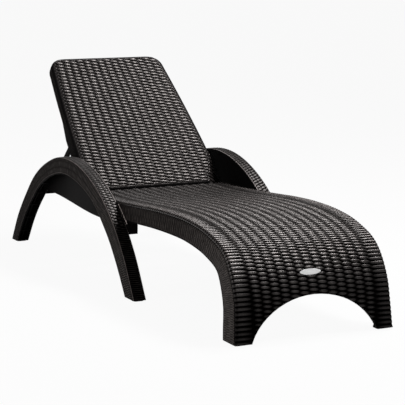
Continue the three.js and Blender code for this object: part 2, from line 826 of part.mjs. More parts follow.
function makeBackPanel() {
  const back = frontFaceHeight - skirtDepthAtFoot - cutMargin;
  const skin = frontFaceHeight - wall;
  const block = backBlock(0, back, frontFaceHeight, edgeRadius / 2);
  const core = backBlock(wall, back - cutMargin, skin, 0);
  const outer = carved(block, [cheekCut(1, 0), cheekCut(-1, 0)]);
  const hollow = carved(core, [cheekCut(1, wall), cheekCut(-1, wall)]);
  const parts = [outer.subtract(hollow)];
  const region = carved(backBlock(wall / 2, back, frontFaceHeight - overlap, 0),
    [cheekCut(1, overlap), cheekCut(-1, overlap)]);
  const ribs = [];
  const ribFoot = skin - backRibDepth;
  const end = backStartLength + backLength;
  const longCount = Math.floor(backWidthAtFoot / backRibPitch / 2);
  for (let rib = -longCount; rib <= longCount; rib += 1) {
    const x = rib * backRibPitch;
    ribs.push(box(x - ribThickness / 2, x + ribThickness / 2, backStartLength, end, ribFoot, skin + overlap));
  }
  const crossCount = Math.floor(backLength / backRibPitch);
  for (let rib = 1; rib < crossCount; rib += 1) {
    const y = backStartLength + rib * backRibPitch;
    ribs.push(box(-halfSeat, halfSeat, y - ribThickness / 2, y + ribThickness / 2, ribFoot, skin + overlap));
  }
  parts.push(joined(ribs).intersect(region));
  const half = backWidthAtFoot / 2;
  for (const side of [-1, 1]) {
    const arm = hingeArm(half);
    parts.push(side > 0 ? arm : mirrored(arm));
    for (const inner of [propLegOuter + turningGap, propLegInner - turningGap - lugPlate]) {
      const bracket = propBracket(inner, inner + lugPlate, skin);
      parts.push(side > 0 ? bracket : mirrored(bracket));
    }
  }
  const cuts = [skirtCut(), bottomOpening(half)];
  for (const side of [-1, 1]) {
    const pinHole = barAcross(hingePinRadius + slipGap, half - wall * 2, half + overlap, 0, 0);
    const propHole = barAcross(propPinRadius + slipGap, propLegInner - turningGap * 2 - lugPlate,
      propLegOuter + turningGap * 2 + lugPlate, propPivotY, propPivotZ);
    cuts.push(side > 0 ? pinHole : mirrored(pinHole));
    cuts.push(side > 0 ? propHole : mirrored(propHole));
  }
  return carved(joined(parts), cuts);
}

// The lower edge of the panel is shallow between the two hinge arms, so that it passes over the racks
function bottomOpening(half) {
  const low = frontFaceHeight - skirtDepthAtFoot - cutMargin * 2;
  const high = frontFaceHeight - hingeEarRadius;
  const end = backStartLength + footCornerRadius;
  return box(footCornerRadius - half, half - footCornerRadius, 0, end, low, high);
}

// Arm from the deep side skirt down to the hinge pin
function hingeArm(half) {
  const reach = backStartLength + footCornerRadius * 2;
  const low = frontFaceHeight - skirtDepthAtFoot;
  const round = arcPoints(0, 0, hingeArmRadius, Math.PI / 2, Math.PI * 4 / 3, 9);
  const outline = [...round, [footCornerRadius, low], [reach, low], [reach, low / 2]];
  return sideSlab(outline, half - wall, half);
}

// One cheek of the bracket that holds the prop's leg
function propBracket(fromX, toX, skin) {
  const y = propPivotY;
  const z = propPivotZ;
  const radius = propLegWidth / 2;
  const round = arcPoints(y, z, radius, Math.PI, Math.PI * 2, 8);
  const outline = [...round, [y + radius * 2, skin + overlap], [y - radius * 2, skin + overlap]];
  return sideSlab(outline, fromX, toX);
}

// Prop, in its own frame: Y from its pivot to its foot
function makeProp() {
  const parts = [barAcross(propBarRadius, -propLegOuter, propLegOuter, propLength, 0, 16)];
  const bracePlace = propLength * propBraceShare;
  const braceEnd = propLegOuter - overlap;
  parts.push(barAcross(propBraceRadius, -braceEnd, braceEnd, bracePlace, 0, 12));
  for (const side of [-1, 1]) {
    const half = propLegWidth / 2;
    const top = arcPoints(0, 0, half, Math.PI / 2, Math.PI * 3 / 2, 8);
    const foot = arcPoints(propLength, 0, propBarRadius, -Math.PI / 2, Math.PI / 2, 6);
    const leg = sideSlab([...top, ...foot], propLegInner, propLegOuter);
    parts.push(side > 0 ? leg : mirrored(leg));
  }
  const holes = [-1, 1].map((side) => {
    const hole = barAcross(propPinRadius + slipGap, propLegInner - overlap, propLegOuter + overlap, 0, 0);
    return side > 0 ? hole : mirrored(hole);
  });
  return carved(joined(parts), holes);
}

// Where the prop's foot lies for a given angle of the back
function propFoot(backAngle) {
  const pivot = new THREE.Vector2(propPivotY, propPivotZ).rotateAround(new THREE.Vector2(), backAngle);
  const turn = reclineAngle + propAngle + propTurnRatio * (backAngle - reclineAngle);
  return [hingeY + pivot.x + propLength * Math.cos(turn), hingeZ + pivot.y + propLength * Math.sin(turn)];
}

// Right rack: a toothed rail between the seat's rear wall and the rear cross bar
function makeRack() {
  const angles = notchShares.map((share) => THREE.MathUtils.lerp(reclineAngle, uprightAngle, share));
  const feet = angles.map(propFoot);
  const drop = propBarRadius + rackToothClearance;
  const rear = Math.max(feet[0][0], rearBarCentre) + rackEndLength;
  const toothed = feet.at(-1)[0] - rackEndLength;
  const start = seatLength + jointGap;
  const crestLine = [[rear, feet[0][1] - drop]];
  for (const [y, z] of feet) {
    crestLine.push([y + propBarRadius, z - drop], [y + propBarRadius, z - drop - rackNotchDepth]);
    crestLine.push([y - propBarRadius, z - drop - rackNotchDepth], [y - propBarRadius * 2, z - drop]);
  }
  crestLine.push([toothed, feet.at(-1)[1] - drop], [toothed - rackSlopeLength, rackTop], [start, rackTop]);
  const barFront = rearBarCentre - rearBarLength / 2 - slipGap;
  const footLine = [[start, rackFoot], [barFront - rearBarLength, rackFoot],
    [barFront, rearBarTop + jointGap], [rear, rearBarTop + jointGap]];
  const web = sideSlab([...crestLine, ...footLine], rackMiddle - rackWeb / 2, rackMiddle + rackWeb / 2);
  const crestUnder = crestLine.map(([y, z]) => [y, z - rackWidth]).reverse();
  const crest = sideSlab([...crestLine, ...crestUnder], rackOuter - rackWidth, rackOuter);
  const soleEnd = barFront - rearBarLength;
  const sole = box(rackOuter - rackWidth, rackOuter, start, soleEnd, rackFoot, rackFoot + wall);
  const endFoot = rearBarTop + jointGap;
  const end = box(rackBoltX - bossRadius, rackOuter, barFront, rear, endFoot, rearBarTop + wall);
  const flange = box(rackMiddle - rackFlangeWidth / 2, rackMiddle + rackFlangeWidth / 2,
    start, start + wall, rackFoot + wall, rackTop);
  const hole = barUpright(boltRadius + slipGap, rackBoltX, rearBarCentre, rearBarTop - overlap,
    rearBarTop + rearBarHeight);
  return carved(joined([web, crest, sole, end, flange]), [hole]);
}

// Rectangular tube along X with rounded edges and closed ends
function tube(halfLength, fromY, toY, fromZ, toZ) {
  const outline = (inset) => {
    const shape = new THREE.Shape();
    const [y0, y1, z0, z1] = [fromY + inset, toY - inset, fromZ + inset, toZ - inset];
    const r = tubeCorner - inset;
    shape.moveTo(y0 + r, z0).lineTo(y1 - r, z0).quadraticCurveTo(y1, z0, y1, z0 + r);
    shape.lineTo(y1, z1 - r).quadraticCurveTo(y1, z1, y1 - r, z1);
    shape.lineTo(y0 + r, z1).quadraticCurveTo(y0, z1, y0, z1 - r);
    shape.lineTo(y0, z0 + r).quadraticCurveTo(y0, z0, y0 + r, z0);
    return shape.getPoints(3).map((point) => [point.x, point.y]).slice(1);
  };
  const outer = sideSlab(outline(0), -halfLength, halfLength);
  const inner = sideSlab(outline(tubeWall), tubeEndPlate - halfLength, halfLength - tubeEndPlate);
  return outer.subtract(inner);
}

function makeFrontMember() {
  const bottom = lugTop + jointGap;
  const half = seatInArms - wall - jointGap;
  const solid = tube(half, lugFront, lugFront + frontMemberLength, bottom, bottom + frontMemberHeight);
  const holes = [-1, 1].map((side) => barUpright(boltRadius + jointGap, side * lugBoltX(), lugBoltY(),
    bottom - overlap, bottom + frontMemberHeight / 2));
  return carved(solid, holes);
}

function makeRearBar() {
  const half = armInner - jointGap;
  const solid = tube(half, rearBarCentre - rearBarLength / 2, rearBarCentre + rearBarLength / 2,
    rearBarTop - rearBarHeight, rearBarTop);
  const holes = [-1, 1].flatMap((side) => {
    const endStart = half - tubeEndPlate * 2;
    const end = barAcross(boltRadius + jointGap, endStart, half + overlap, rearBarCentre, rearBarMiddle);
    const top = barUpright(boltRadius + jointGap, side * rackBoltX, rearBarCentre,
      rearBarMiddle, rearBarTop + overlap);
    return [side > 0 ? end : mirrored(end), top];
  });
  return carved(solid, holes);
}

// Bolt along X with its head towards the middle of the lounger
function armBolt(y, z) {
  const headEnd = seatInArms - wall - jointGap;
  const shank = barAcross(boltRadius, headEnd - overlap, armInner + bossLength - overlap, y, z);
  return shank.add(hexHead(headEnd - boltHeadHeight, headEnd, y, z));
}

function rearBarBolt() {
  const z = rearBarMiddle;
  const headStart = armInner + armPlate + jointGap;
  const shankStart = armInner - jointGap - tubeEndPlate * 2;
  const shank = barAcross(boltRadius, shankStart, headStart + overlap, rearBarCentre, z);
  return shank.add(hexHead(headStart, headStart + boltHeadHeight, rearBarCentre, z));
}

function lugBolt() {
  const head = lugTop - wall - jointGap;
  const shankTop = lugTop + frontMemberHeight / 2;
  const shank = barUpright(boltRadius, lugBoltX(), lugBoltY(), head - overlap, shankTop);
  return shank.add(barUpright(boltHeadRadius, lugBoltX(), lugBoltY(), head - boltHeadHeight, head, 6));
}

function rackBolt() {
  const head = rearBarTop + wall + jointGap;
  const shankFoot = rearBarTop - rearBarHeight / 3;
  const shank = barUpright(boltRadius, rackBoltX, rearBarCentre, shankFoot, head + overlap);
  return shank.add(barUpright(boltHeadRadius, rackBoltX, rearBarCentre, head, head + boltHeadHeight, 6));
}

// Pin through the back's hinge arm into the rail's ear, with its head inside
function hingePin() {
  const headEnd = backWidthAtFoot / 2 - wall - jointGap;
  const shank = barAcross(hingePinRadius, headEnd - overlap, armInner - jointGap * 2, hingeY, hingeZ);
  return shank.add(barAcross(pinHeadRadius, headEnd - pinHeadHeight, headEnd, hingeY, hingeZ));
}

function propPin() {
  const inner = propLegInner - turningGap - lugPlate - jointGap;
  const outer = propLegOuter + turningGap + lugPlate + overlap;
  const shank = barAcross(propPinRadius, inner - overlap, outer, 0, 0);
  return shank.add(barAcross(propPinRadius + boltRadius / 2, inner - pinHeadHeight, inner, 0, 0));
}

// Rubber glide under a foot: a pad with a stud that snaps into the sole plate
function glide(x, y, width, length) {
  const shape = new THREE.Shape();
  const [hw, hl, r] = [width / 2, length / 2, Math.min(width, length) / 4];
  shape.moveTo(r - hw, -hl).lineTo(hw - r, -hl).quadraticCurveTo(hw, -hl, hw, r - hl);
  shape.lineTo(hw, hl - r).quadraticCurveTo(hw, hl, hw - r, hl);
  shape.lineTo(r - hw, hl).quadraticCurveTo(-hw, hl, -hw, hl - r);
  shape.lineTo(-hw, r - hl).quadraticCurveTo(-hw, -hl, r - hw, -hl);
  const outline = shape.getPoints(4).slice(1).map((point) => [x + point.x, y + point.y]);
  const pad = planSlab(outline, 0, glideHeight);
  const studTop = glideHeight + glideStudHeight;
  return pad.add(barUpright(glideStudRadius, x, y, glideHeight - overlap, studTop, 12));
}

// Where the oval plate lies on the front of the foot end
function badgeFrame() {
  let along = 0;
  while (seatCurve.getPointAt(along).z < seatHeight * badgeHeightShare) along += badgeSearchShare;
  const { point, tangent, inward } = seatFrame(along);
  const outward = inward.clone().negate();
  const place = point.clone().addScaledVector(outward, jointGap);
  return new THREE.Matrix4().makeBasis(new THREE.Vector3(1, 0, 0), tangent, outward).setPosition(place);
}

function makeBadge() {
  const shape = new THREE.Shape();
  shape.absellipse(0, 0, badgeWidth / 2, badgeHeight / 2, 0, Math.PI * 2);
  const bevel = badgeThickness / 3;
  const geometry = new THREE.ExtrudeGeometry(shape, {
    depth: badgeThickness - bevel * 2, curveSegments: 16, bevelEnabled: true,
    bevelThickness: bevel, bevelSize: bevel, bevelOffset: -bevel, bevelSegments: 1,
  });
  geometry.translate(0, 0, bevel);
  const studs = [-1, 1].map((side) => {
    const stud = new THREE.CylinderGeometry(badgeStudRadius, badgeStudRadius, badgeStudLength, 10);
    stud.rotateX(Math.PI / 2).translate(side * badgeStudSpread, 0, overlap - badgeStudLength / 2);
    return solidOf(stud);
  });
  return joined([solidOf(geometry), ...studs]);
}

function meshOf(name, solid, finish) {
  const mesh = new THREE.Mesh(geometryOf(solid), finish);
  mesh.name = name;
  return mesh;
}

function mirrorPair(group, name, solid, finish) {
  group.add(meshOf(`right_${name}`, solid, finish()));
  group.add(meshOf(`left_${name}`, mirrored(solid), finish()));
}

// The assembly
const lounger = new THREE.Group();
const frame = new THREE.Group();
lounger.add(frame);

frame.add(meshOf('seat_shell', makeSeatShell(), material(anthracite, 0.45)));
mirrorPair(frame, 'arm', makeArm(), () => material(charcoal, 0.5));
mirrorPair(frame, 'rack', makeRack(), () => material(graphite, 0.55));
frame.add(meshOf('front_cross_member', makeFrontMember(), material(graphite, 0.6)));
frame.add(meshOf('rear_cross_bar', makeRearBar(), material(graphite, 0.6)));
armBolts.forEach(([y, z], number) => {
  mirrorPair(frame, `arm_bolt_${number + 1}`, armBolt(y, z), () => material(steelGrey, 0.35, 1));
});
mirrorPair(frame, 'rear_bar_bolt', rearBarBolt(), () => material(steelGrey, 0.35, 1));
mirrorPair(frame, 'cross_member_bolt', lugBolt(), () => material(steelGrey, 0.35, 1));
mirrorPair(frame, 'rack_bolt', rackBolt(), () => material(steelGrey, 0.35, 1));
mirrorPair(frame, 'hinge_pin', hingePin(), () => material(graphite, 0.4));

const toeGlideWidth = toePlateWidth - wall * 2 - glideInset * 2;
const legGlideWidth = halfOverall - armInner - glideInset * 2;
const frontLegLength = legBackLine[0][0] - armTopLine.at(-1)[0];
const rearLegLength = armTopLine[0][0] - armUnderLine[0][0];
const toeGlide = glide(toeGlideX(), toePlateLength, toeGlideWidth, toePlateLength + glideInset);
const frontGlide = glide(legGlideX(), frontLegY(), legGlideWidth, frontLegLength - glideInset * 2);
const rearGlide = glide(legGlideX(), rearLegY(), legGlideWidth, rearLegLength - glideInset * 2);
mirrorPair(frame, 'toe_glide', toeGlide, () => material(rubberBlack, 0.9));
mirrorPair(frame, 'front_leg_glide', frontGlide, () => material(rubberBlack, 0.9));
mirrorPair(frame, 'rear_leg_glide', rearGlide, () => material(rubberBlack, 0.9));

const badge = meshOf('oval_badge', makeBadge(), material(plateWhite, 0.3));
badge.applyMatrix4(badgeFrame());
frame.add(badge);

const backrest = new THREE.Group();
backrest.position.set(0, hingeY, hingeZ);
backrest.rotation.x = reclineAngle;
frame.add(backrest);
backrest.add(meshOf('backrest_panel', makeBackPanel(), material(anthracite, 0.45)));

const propPlace = new THREE.Group();
propPlace.position.set(0, propPivotY, propPivotZ);
backrest.add(propPlace);
mirrorPair(propPlace, 'prop_pin', propPin(), () => material(graphite, 0.4));
const prop = meshOf('backrest_prop', makeProp(), material(graphite, 0.55));
prop.rotation.x = propAngle;
propPlace.add(prop);

// The origin lies on the floor under the middle of the length
frame.position.y = -new THREE.Box3().setFromObject(frame).getCenter(new THREE.Vector3()).y;

export default lounger;
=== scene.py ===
"""Finish for a moulded plastic sun lounger with a woven look and a reclining back.

Lengths in the tables are millimetres along the lounger from the foot end, and metres in the scene.
"""

import json
import math

import bmesh
import bpy
import numpy as np
from bpy.props import FloatProperty, FloatVectorProperty, PointerProperty
from mathutils import Matrix, Vector


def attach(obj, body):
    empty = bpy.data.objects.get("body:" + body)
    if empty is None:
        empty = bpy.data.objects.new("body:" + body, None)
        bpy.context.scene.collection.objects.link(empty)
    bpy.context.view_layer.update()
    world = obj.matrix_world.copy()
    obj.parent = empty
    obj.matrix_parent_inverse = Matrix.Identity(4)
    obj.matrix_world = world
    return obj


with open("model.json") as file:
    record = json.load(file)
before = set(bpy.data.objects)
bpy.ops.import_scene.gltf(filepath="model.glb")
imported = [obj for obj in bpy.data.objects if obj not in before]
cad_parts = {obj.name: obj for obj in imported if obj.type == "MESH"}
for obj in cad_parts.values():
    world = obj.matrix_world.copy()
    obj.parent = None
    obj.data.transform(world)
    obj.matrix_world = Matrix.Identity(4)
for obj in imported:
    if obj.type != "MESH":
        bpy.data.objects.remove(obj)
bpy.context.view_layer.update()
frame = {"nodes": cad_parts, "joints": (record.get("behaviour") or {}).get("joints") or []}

bl_info = {
    "name": "Woven Look Sun Lounger",
    "version": (1, 0, 0),
    "blender": (4, 5, 0),
    "location": "3D View > Sidebar > Lounger",
    "description": "Woven mouldings, ribbed rails and finishes for a plastic sun lounger",
    "category": "Object",
}

MM = 0.001
SIDES = ((-1, "left"), (1, "right"))

# The shell's own sizes, in millimetres
OVERALL_WIDTH = 710
OVERALL_LENGTH = 1896
SEAT_HEIGHT = 354
SEAT_WIDTH = OVERALL_WIDTH * 0.869
SEAT_LENGTH = OVERALL_LENGTH * 0.6361
ARM_REACH = OVERALL_LENGTH * 0.6382
ARM_HEIGHT = SEAT_HEIGHT * 1.209
ARM_TOE = OVERALL_LENGTH - ARM_REACH
ARM_INNER = SEAT_WIDTH / 2 - 5.5
ARM_OUTER = OVERALL_WIDTH / 2
# The rolled edge of the seat, and how deep the seat's sheet and the rail's meet on it
EDGE_RADIUS = 10
EDGE_SPLIT = 4.5
EDGE_OVERLAP = 1.0
SOLE = 3.3
RAIL_DEPTHS = (86, 56)
ARCH_HALF_WIDTH = SEAT_WIDTH / 2 - 49.5
ARCH_HEIGHT = SEAT_HEIGHT * 0.41
ARCH_CENTRE_DEPTH = 60
HINGE_Y = SEAT_LENGTH + 21
BACK_START = 20
BACK_LENGTH = 690
BACK_FACE = 24
BACK_HALF_FOOT = OVERALL_WIDTH * 0.8211 / 2
BACK_HALF_HEAD = OVERALL_WIDTH * 0.7127 / 2
BACK_FOOT_ROUND = 52
BACK_HEAD_ROUND = 68
BACK_BULGE = 11
BACK_EDGE = 5

# The weave, in strand spacings and shares of a column
STRAND_REACH = 0.78
STRAND_FLOAT = 0.2
STRAND_SLANT = 0.36
# Where a strand dives: how fast it does, and what is left of its crown and its width half way down
DIVE_POWER = 0.7
DIVE_CROWN = 0.4
DIVE_WIDTH = 0.6
# Tones as shares of the highest crown's tone: painted highlights, and the smooth rims of the sheets
HIGHLIGHT_TONE = 1.25
SEAT_RIM_TONE = 0.8
BACK_RIM_TONE = 0.62
ARM_RIM_TONE = 0.5
# How light a strand is drawn, from painted shade in its gap to a painted highlight: (share, light)
STRAND_LIGHTS = (
    (0.0, 0.01), (0.3 / HIGHLIGHT_TONE, 0.06), (0.58 / HIGHLIGHT_TONE, 0.5), (1 / HIGHLIGHT_TONE, 2.15), (1.0, 15),
)
# How far a sheet lies above its moulding, how far its border sinks in, and over what width
SHEET_BASE = 0.25
SHEET_SINK = 0.9
SHEET_BORDER = 1.2
# Columns that the seat's border is drawn with, and how far its sheet may stand before the foot end
SEAT_BORDER_COLUMNS = 0.72
FOOT_PROUD = 0.6
ARM_COLUMNS = 3
ARM_LIFT = 0.5
ARM_CROWN = 1.2
ARM_SPAN = ARM_LIFT * 2 + ARM_CROWN
# Height on the front leg at which the arm's weave gives way to fine ribs, and over what height
ARM_FINE_TOP = 215
ARM_FINE_BLEND = 50
ARM_FINE_BASE = 0.2
ARM_FINE_DEPTH = 0.6
# The arm's top sheet: its margin, its inner edge's bead and its outer edge's line, both with painted
# highlights
ARM_MARGIN = 0.6
ARM_BEAD_PLACE = 2.4
ARM_BEAD_HALF = 2.2
ARM_BEAD_HEIGHT = 1.2
ARM_LINE_WIDTH = 1.6
ARM_LINE_HIGHLIGHT = 0.95
# The arm's side sheet: its margins, the bead along the arch with a painted highlight, and how far the
# sheet starts inside
ARM_SIDE_MARGINS = (1.0, 2.0)
ARM_SIDE_BEAD_PLACE = 2.2
ARM_SIDE_BEAD_HALF = 1.8
ARM_SIDE_BEAD_HEIGHT = 0.9
ARM_SIDE_INSET = 0.5
RAIL_MARGIN = 1.5
RAIL_END = 4.0
RIB_DEPTH = 0.6
SKIRT_SPACING = 8.8
# The small strands of the sides: width of a column, height, and how sharply they end and rise
SIDE_COLUMN = 24
SIDE_SPAN = 0.9
SIDE_END_POWER = 0.22
SIDE_RISE_POWER = 1.4
WARM_GLOSS = (1.0, 0.92, 0.89)
SEAT_COLUMNS = 13
BACK_COLUMNS = 15
BADGE_PLACE = 0.61
BADGE_HALF = (83 / 2, 22 / 2)
CHEEK_WIDTH = 65
CHEEK_LENGTH = 171
CHEEK_DEPTH = 42
SKIRT_CHANGE = (323, 328)
SKIRT_FOOT = (-35, -18)
# The arm's fixing flange: its heights, and how far its front edge lies before the arm's top line
FLANGE_HEIGHTS = (255.9, 317.9)
FLANGE_REACH = 27
FLANGE_BEAD_HALF = 1.6
FLANGE_BEAD_HEIGHT = 1.7
FLANGE_BEAD_SINK = 0.4

# Arc lengths that part the seat's sheets
FOOT_END = 430.0
SEAT_SPLIT = 900.0

# Faces across and along each sheet
FOOT_FACES = (190, 360)
SEAT_FACES = (190, 400)
BACK_FACES = (220, 300)
CHEEK_FACES = (60, 150)
SKIRT_FACES = (16, 800)
ARM_FACES = (26, 1700)
RAIL_FACES = (12, 2200)
ARM_SIDE_FACES = (20, 2000)
FLANGE_FACES = (8, 40)

# Side view lines, as shares of a length and a height
SEAT_LINE = [
    (0, 0), (0.0265, 0.486), (0.0862, 0.797), (0.183, 0.935), (0.299, 0.994), (0.42, 1),
    (0.538, 0.98), (0.651, 0.946), (0.758, 0.915), (0.871, 0.892), (1, 0.881),
]
SEAT_WIDTHS = [
    (0, 1.006), (0.1, 0.986), (0.25, 0.973), (0.42, 0.979), (0.58, 0.995), (0.68, 1), (1, 1),
]
ARM_TOP = [
    (1, 0), (0.9405, 0.28), (0.8686, 0.521), (0.7909, 0.7336), (0.6959, 0.8902), (0.5835, 0.993),
    (0.4554, 1), (0.3231, 0.8995), (0.1983, 0.6986), (0.0909, 0.3925), (0, 0),
]
ARM_UNDER = [
    (0.9504, 0), (0.8851, 0.2687), (0.8099, 0.4953), (0.7298, 0.6822), (0.638, 0.799),
    (0.5388, 0.8551), (0.4331, 0.8248), (0.319, 0.722), (0.25, 0.59),
]
LEG_BACK = [(0.0645, 0), (0.1231, 0.2313), (0.187, 0.439), (0.2537, 0.601)]

# Strand spacing as (place along, spacing), in millimetres
SEAT_SPACING = [
    (0, 8.25), (100, 8.2), (160, 7.8), (220, 7.8), (250, 7.3), (280, 6.8), (310, 6.4), (340, 6.4),
    (420, 6.9), (500, 7.2), (1500, 7.3),
]
BACK_SPACING = [(0, 7.95), (250, 8.2), (450, 8.35), (720, 8.6)]
RAIL_SPACING = [(0, 8.2), (250, 8.6), (420, 13), (1500, 14)]
ARM_SPACING = [(0, 8.8), (350, 9), (600, 13), (900, 13), (1150, 8.8), (2000, 8.2)]
# How steeply the painted shade deepens towards the strands' gaps: arc lengths and the power at each
SEAT_GAPS = ((150, 400, 1200), (1.1, 2.6, 2.9))
# How far the seat's strands float past their column: arc lengths and the share at each
SEAT_FLOAT = ((250, 420, 700), (0.2, 0.45, 0.7))
# Painted shade on the foot end, painted highlights over the knee and seat: arc lengths and the share at
# each
SEAT_PAINTED_LIGHT = (
    (0, 150, 220, 290, 450, 650, 950, 1150),
    (0.42, 0.54, 0.76, 1.2, 1.15, 1.25, 1.25, 1.12),
)
# How narrow the rail's grooves are, and the painted shade on its ribs: arc lengths and the value at
# each
RAIL_GROOVES = ((250, 700), (0.15, 0.4))
RAIL_PAINTED_SHADE = ((350, 650), (0.84, 0.7))
# Painted shade on the arm's side, darker over the rear leg and arch: shares of its top line and the
# light at each
ARCH_PAINTED_SHADE = ((0.55, 0.75), (0.8, 1.0))
# Half the width of the back's weave with its border: places along the back and the width at each
BACK_HALF_WIDTHS = (
    (80, 165, 250, 350, 450, 550, 620, 700),
    (291, 288, 284, 278, 271, 262, 255, 246),
)

# Each lamp's name, place, target, size in metres and power in watts
LAMPS = (
    ("back_softbox", (0.8, 3.6, 3.2), (0, 0, 0.3), (2.0, 1.0), 16),
    ("top_softbox", (1.25, 0.1, 3.0), (0, 0.3, 0.4), (0.9, 0.9), 58),
    ("front_softbox", (1.4, -1.2, 3.0), (0, -0.7, 0.3), (0.7, 0.7), 54),
    ("low_softbox", (0.7, -3.8, 1.3), (0, -0.9, 0.2), (1.2, 0.8), 14),
    ("left_softbox", (-3.4, -0.4, 1.4), (0, 0.1, 0.3), (1.6, 1.2), 26),
)

FLOOR_RADIUS = 45
FLOOR_WALL = 4.5
FLOOR_GLOW = 0.94

# The photograph's camera: yaw, pitch and roll in degrees, focal length and width in pixels, and its
# place in metres from the foot end
PHOTO_ANGLES = (27.74, 10.57, 1.06)
PHOTO_FOCAL = 1697.9
PHOTO_WIDTH = 405
PHOTO_PLACE = (-2.922, -4.716, 1.488)
SENSOR_WIDTH = 36

# The hinge of the back, which also ties this file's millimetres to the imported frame
recline = next(joint for joint in frame["joints"] if joint["name"] == "back_recline")
HINGE = Vector(recline["pos_m"])
RECLINE = math.radians(41.7)
SHIFT = HINGE.y / MM - HINGE_Y


def smooth_line(shares, start, length, height, count=4000):
    """A centripetal curve through shares of a length and a height: its points and their arc length."""
    knots = np.array([(start + along * length, up * height) for along, up in shares])
    knots = np.vstack([2 * knots[0] - knots[1], knots, 2 * knots[-1] - knots[-2]])
    gaps = np.sqrt(np.linalg.norm(np.diff(knots, axis=0), axis=1))
    spans = len(shares) - 1
    places = np.linspace(0, spans, count)
    span = np.minimum(places.astype(int), spans - 1)
    t = (places - span)[:, None]
    before, here, after, beyond = (knots[span + k] for k in range(4))
    g0, g1, g2 = (gaps[span + k][:, None] for k in range(3))
    leave = ((here - before) / g0 - (after - before) / (g0 + g1) + (after - here) / g1) * g1
    reach = ((after - here) / g1 - (beyond - here) / (g1 + g2) + (beyond - after) / g2) * g1
    points = here + leave * t + (3 * (after - here) - 2 * leave - reach) * t**2
    points = points + (2 * (here - after) + leave + reach) * t**3
    arc = np.concatenate([[0], np.cumsum(np.linalg.norm(np.diff(points, axis=0), axis=1))])
    return points, arc


class Line:
    """A side view line that can be asked for a place and a direction at an arc length."""

    def __init__(self, shares, start, length, height):
        self.points, self.arc = smooth_line(shares, start, length, height)
        self.length = self.arc[-1]
        self.ways = np.gradient(self.points, self.arc, axis=0)

    def at(self, arc):
        """Places [y, z] and unit directions at arc lengths; past its ends the line goes straight on."""
        inside = np.clip(arc, 0, self.length)
        place = np.stack([np.interp(inside, self.arc, self.points[:, k]) for k in (0, 1)], -1)
        way = np.stack([np.interp(inside, self.arc, self.ways[:, k]) for k in (0, 1)], -1)
        way = way / np.linalg.norm(way, axis=-1, keepdims=True)
        return place + way * (arc - inside)[..., None], way


SEAT = Line(SEAT_LINE, 0, SEAT_LENGTH, SEAT_HEIGHT)
TOP = Line(ARM_TOP, ARM_TOE, ARM_REACH, ARM_HEIGHT)
UNDER = Line(ARM_UNDER, ARM_TOE, ARM_REACH, ARM_HEIGHT)
LEG = Line(LEG_BACK, ARM_TOE, ARM_REACH, ARM_HEIGHT)


def eased(table, value):
    """A value read from a table of steps with a soft blend between them."""
    places = np.array([row[0] for row in table])
    values = np.array([row[1] for row in table])
    step = np.clip(np.searchsorted(places, value) - 1, 0, len(table) - 2)
    t = np.clip((value - places[step]) / (places[step + 1] - places[step]), 0, 1)
    return values[step] + (values[step + 1] - values[step]) * t * t * (3 - 2 * t)


def seat_half(arc):
    """Half the width of the seat at an arc length."""
    return SEAT_WIDTH / 2 * eased(SEAT_WIDTHS, np.clip(arc / SEAT.length, 0, 1))


def to_scene(x, y, z):
    """Millimetres from the foot end to metres in the scene."""
    return np.stack([x * MM, (y + SHIFT) * MM, z * MM], -1)


def from_back(x, y, z):
    """Millimetres in the back's own plane, from its hinge, to metres in the scene at rest."""
    cos, sin = math.cos(RECLINE), math.sin(RECLINE)
    across = x * MM
    along = HINGE.y + (y * cos - z * sin) * MM
    up = HINGE.z + (y * sin + z * cos) * MM
    return np.stack([across, along, up], -1)


def plain_weave(columns, strands, lift, crown, float_share=STRAND_FLOAT):
    """Height of strands that run across, each over one column and under the next.

    columns and strands are counted, so that whole numbers are their middles. lift is how far a strand
    rises over a column and sinks under the next, crown how far its middle stands above its edges, and
    float_share how far it stays up past its column. The deepest gap is at 0.
    """
    sway = np.cos(math.pi * columns)
    first = np.floor(strands)
    height = np.full(np.broadcast(columns, strands).shape, -lift)
    for step in (-1, 0, 1, 2):
        row = first + step
        over = (np.where(row % 2 == 0, 1.0, -1.0) * sway + float_share) / (1 + float_share)
        over = np.sign(over) * np.abs(over) ** DIVE_POWER
        swell = DIVE_CROWN + over * np.where(over > 0, 1 - DIVE_CROWN, DIVE_CROWN)
        odd = np.where(row % 2 == 0, 0.0, 1.0)
        beside = columns - odd - 2 * np.round((columns - odd) / 2)
        reach = STRAND_REACH * (DIVE_WIDTH + (1 - DIVE_WIDTH) * np.abs(over))
        off = np.abs(strands - row + STRAND_SLANT * beside) / reach
        strand = lift * over + crown * swell * (1 - off**2)
        height = np.where((off < 1) & (strand > height), strand, height)
    return np.maximum(height + lift, 0)


def strand_count(table, place):
    """Strands from the start up to a place, where a table of (place, spacing) gives their spacing."""
    fine = np.linspace(table[0][0], table[-1][0], 4000)
    spacing = np.interp(fine, [row[0] for row in table], [row[1] for row in table])
    count = np.concatenate([[0], np.cumsum(np.diff(fine) / spacing[1:])])
    return np.interp(place, fine, count)


def fade_in(distance, start, width):
    """0 up to the start, then rising to 1 over the width."""
    return np.clip((distance - start) / width, 0, 1)


def half_round(place, middle, half_width):
    """Height of a bead with a round top, as a share of its full height."""
    return np.sqrt(np.clip(1 - ((place - middle) / half_width) ** 2, 0, 1))


# Building a piece from a grid of faces


